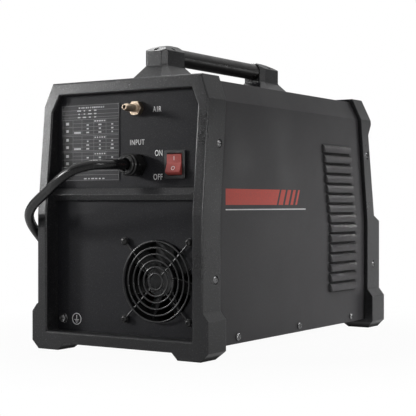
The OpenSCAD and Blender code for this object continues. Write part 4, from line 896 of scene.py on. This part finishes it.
def display_digits():
    """Two seven-stroke digits on the display's window, w wide, 2 h high, of strokes 2 t thick."""
    w, h, t = 5.2, 5.4, 0.55
    squeeze = 0.55
    strokes = {
        "a": (0, h, w, t), "g": (0, 0, w, t), "d": (0, -h, w, t),
        "f": (-w, h / 2, t, h), "b": (w, h / 2, t, h), "e": (-w, -h / 2, t, h), "c": (w, -h / 2, t, h)}
    outlines = []
    for place, digit in ((-9, "4"), (7, "0")):
        for stroke in DIGIT_STROKES[digit]:
            x, y, across, up = strokes[stroke]
            half_x, half_y = (0.5 * across, up) if across == w else (across, 0.5 * up - 0.2)
            x = place + x * squeeze
            outlines.append(oblong(x - half_x, y - half_y, x + half_x, y + half_y))
    flat_shape("display_digits", outlines, on_controls(*DISPLAY, 1.45), "lit_red", slot="display_glass")


rear_legends()
earth_mark()
data_plate_marks()
rocker_marks()
side_stripe()
dial_marks()
display_digits()


# ---------------------------------------------------------------- light and floor

# Strengths of 0 to 1: what the world sheds on the object, how bright its horizon looks in gloss and glass, and how
# bright the floor looks there.
FILL_LIGHT = 0.1
HORIZON_LIGHT = 0.1
MIRRORED_FLOOR = 0.42


def area_lamp(name, place, aim, size, watts, spread=180):
    """A lamp at place, turned to aim, both in metres like its size; spread is in degrees."""
    data = bpy.data.lights.new(name, "AREA")
    data.shape = "RECTANGLE"
    data.size, data.size_y = size
    data.energy = watts
    data.spread = math.radians(spread)
    lamp = bpy.data.objects.new(name, data)
    lamp.location = place
    lamp.rotation_euler = (Vector(aim) - Vector(place)).to_track_quat("-Z", "Y").to_euler()
    bpy.context.scene.collection.objects.link(lamp)


def ray_kinds(tree):
    """1 for camera rays and 1 for glossy and transmission rays; each is 0 for the others."""
    path = add_node(tree, "ShaderNodeLightPath").outputs
    return path["Is Camera Ray"], calculate(tree, "MAXIMUM", path["Is Glossy Ray"], path["Is Transmission Ray"])


def studio_world():
    """White to the camera, darker towards the horizon in gloss and glass, and a faint light on the object."""
    world = bpy.data.worlds.new("studio")
    world.use_nodes = True
    tree = world.node_tree
    background = next(n for n in tree.nodes if n.type == "BACKGROUND")
    background.inputs["Color"].default_value = (1, 1, 1, 1)
    direction = add_node(tree, "ShaderNodeTexCoord").outputs["Generated"]
    height = add_node(tree, "ShaderNodeSeparateXYZ", {0: direction}).outputs["Z"]
    low_sky, high_sky = 0.1, 0.8
    sky = remap(tree, height, low_sky, high_sky, HORIZON_LIGHT, 1.0)
    seen, mirrored = ray_kinds(tree)
    lighting = add_node(tree, "ShaderNodeMix", {0: mirrored, 2: FILL_LIGHT, 3: sky}).outputs[0]
    strength = add_node(tree, "ShaderNodeMix", {0: seen, 2: lighting, 3: 1.0}).outputs[0]
    tree.links.new(strength, background.inputs["Strength"])
    bpy.context.scene.world = world


def pale_floor():
    """White floor that keeps a faint shadow near the object and runs out into the white background."""
    half_side, near, far, near_share = 6.0, 0.25, 0.45, 0.96
    work = bmesh.new()
    bmesh.ops.create_grid(work, x_segments=1, y_segments=1, size=half_side)
    floor = bpy.data.objects.new("floor", mesh_from("floor", work))
    bpy.context.scene.collection.objects.link(floor)
    material = bpy.data.materials.new("floor_white")
    material.use_nodes = True
    tree = material.node_tree
    shader = next(n for n in tree.nodes if n.type == "BSDF_PRINCIPLED")
    shader.inputs["Base Color"].default_value = (0.5, 0.5, 0.5, 1)
    shader.inputs["Roughness"].default_value = 0.9
    shader.inputs["Specular IOR Level"].default_value = 0.1
    white = add_node(tree, "ShaderNodeEmission", {"Color": (1, 1, 1, 1), "Strength": 1.0})
    distance = add_node(tree, "ShaderNodeVectorMath", {0: object_place(tree)}, operation="LENGTH").outputs["Value"]
    share = remap(tree, distance, near, far, near_share, 1.0)
    seen, mirrored = ray_kinds(tree)
    whiteness = calculate(tree, "MAXIMUM", seen, calculate(tree, "MULTIPLY", mirrored, MIRRORED_FLOOR))
    mixed = add_node(tree, "ShaderNodeMixShader", {
        0: calculate(tree, "MULTIPLY", share, whiteness), 1: shader.outputs[0], 2: white.outputs[0]})
    output = next(n for n in tree.nodes if n.type == "OUTPUT_MATERIAL")
    tree.links.new(mixed.outputs[0], output.inputs["Surface"])
    floor.data.materials.append(material)


def lamps():
    area_lamp("key", (1.4, 1.45, 0.62), (0.22, 0.2, 0.25), (0.3, 0.4), 0.13, 18)
    area_lamp("rear_main", (2.0, 1.2, 0.75), (0, 0.2, 0.2), (0.35, 0.35), 28)
    area_lamp("side_main", (-1.25, -0.6, 0.45), (-0.1, -0.3, -0.1), (0.3, 0.3), 0.95, 46)
    area_lamp("side_high", (-0.55, -0.4, 1.6), (-0.1, -0.1, 0.15), (0.3, 0.6), 3)
    area_lamp("glint", (-1.55, 1.2, 0.35), (-0.1, 0, 0.15), (0.05, 0.05), 4.5)
    area_lamp("side", (-1.1, -1.9, 0.12), (-0.1, -0.05, 0.1), (1.0, 0.3), 0.6)
    area_lamp("side_glint", (-1.3, -2.0, 0.3), (-0.1, -0.05, 0.15), (0.1, 0.1), 0.7)
    area_lamp("hood_sheen", (-1.0, -1.88, 0.83), (-0.107, -0.12, 0.12), (0.12, 0.1), 0.016, 9)
    area_lamp("front", (0.85, -0.9, 2.0), (0.05, -0.1, 0.15), (0.6, 0.6), 22)
    area_lamp("top", (-0.3, 0.1, 2.0), (0, 0, 0.2), (0.8, 1.4), 4)


studio_world()
pale_floor()
lamps()
bpy.context.scene.view_settings.view_transform = "Standard"
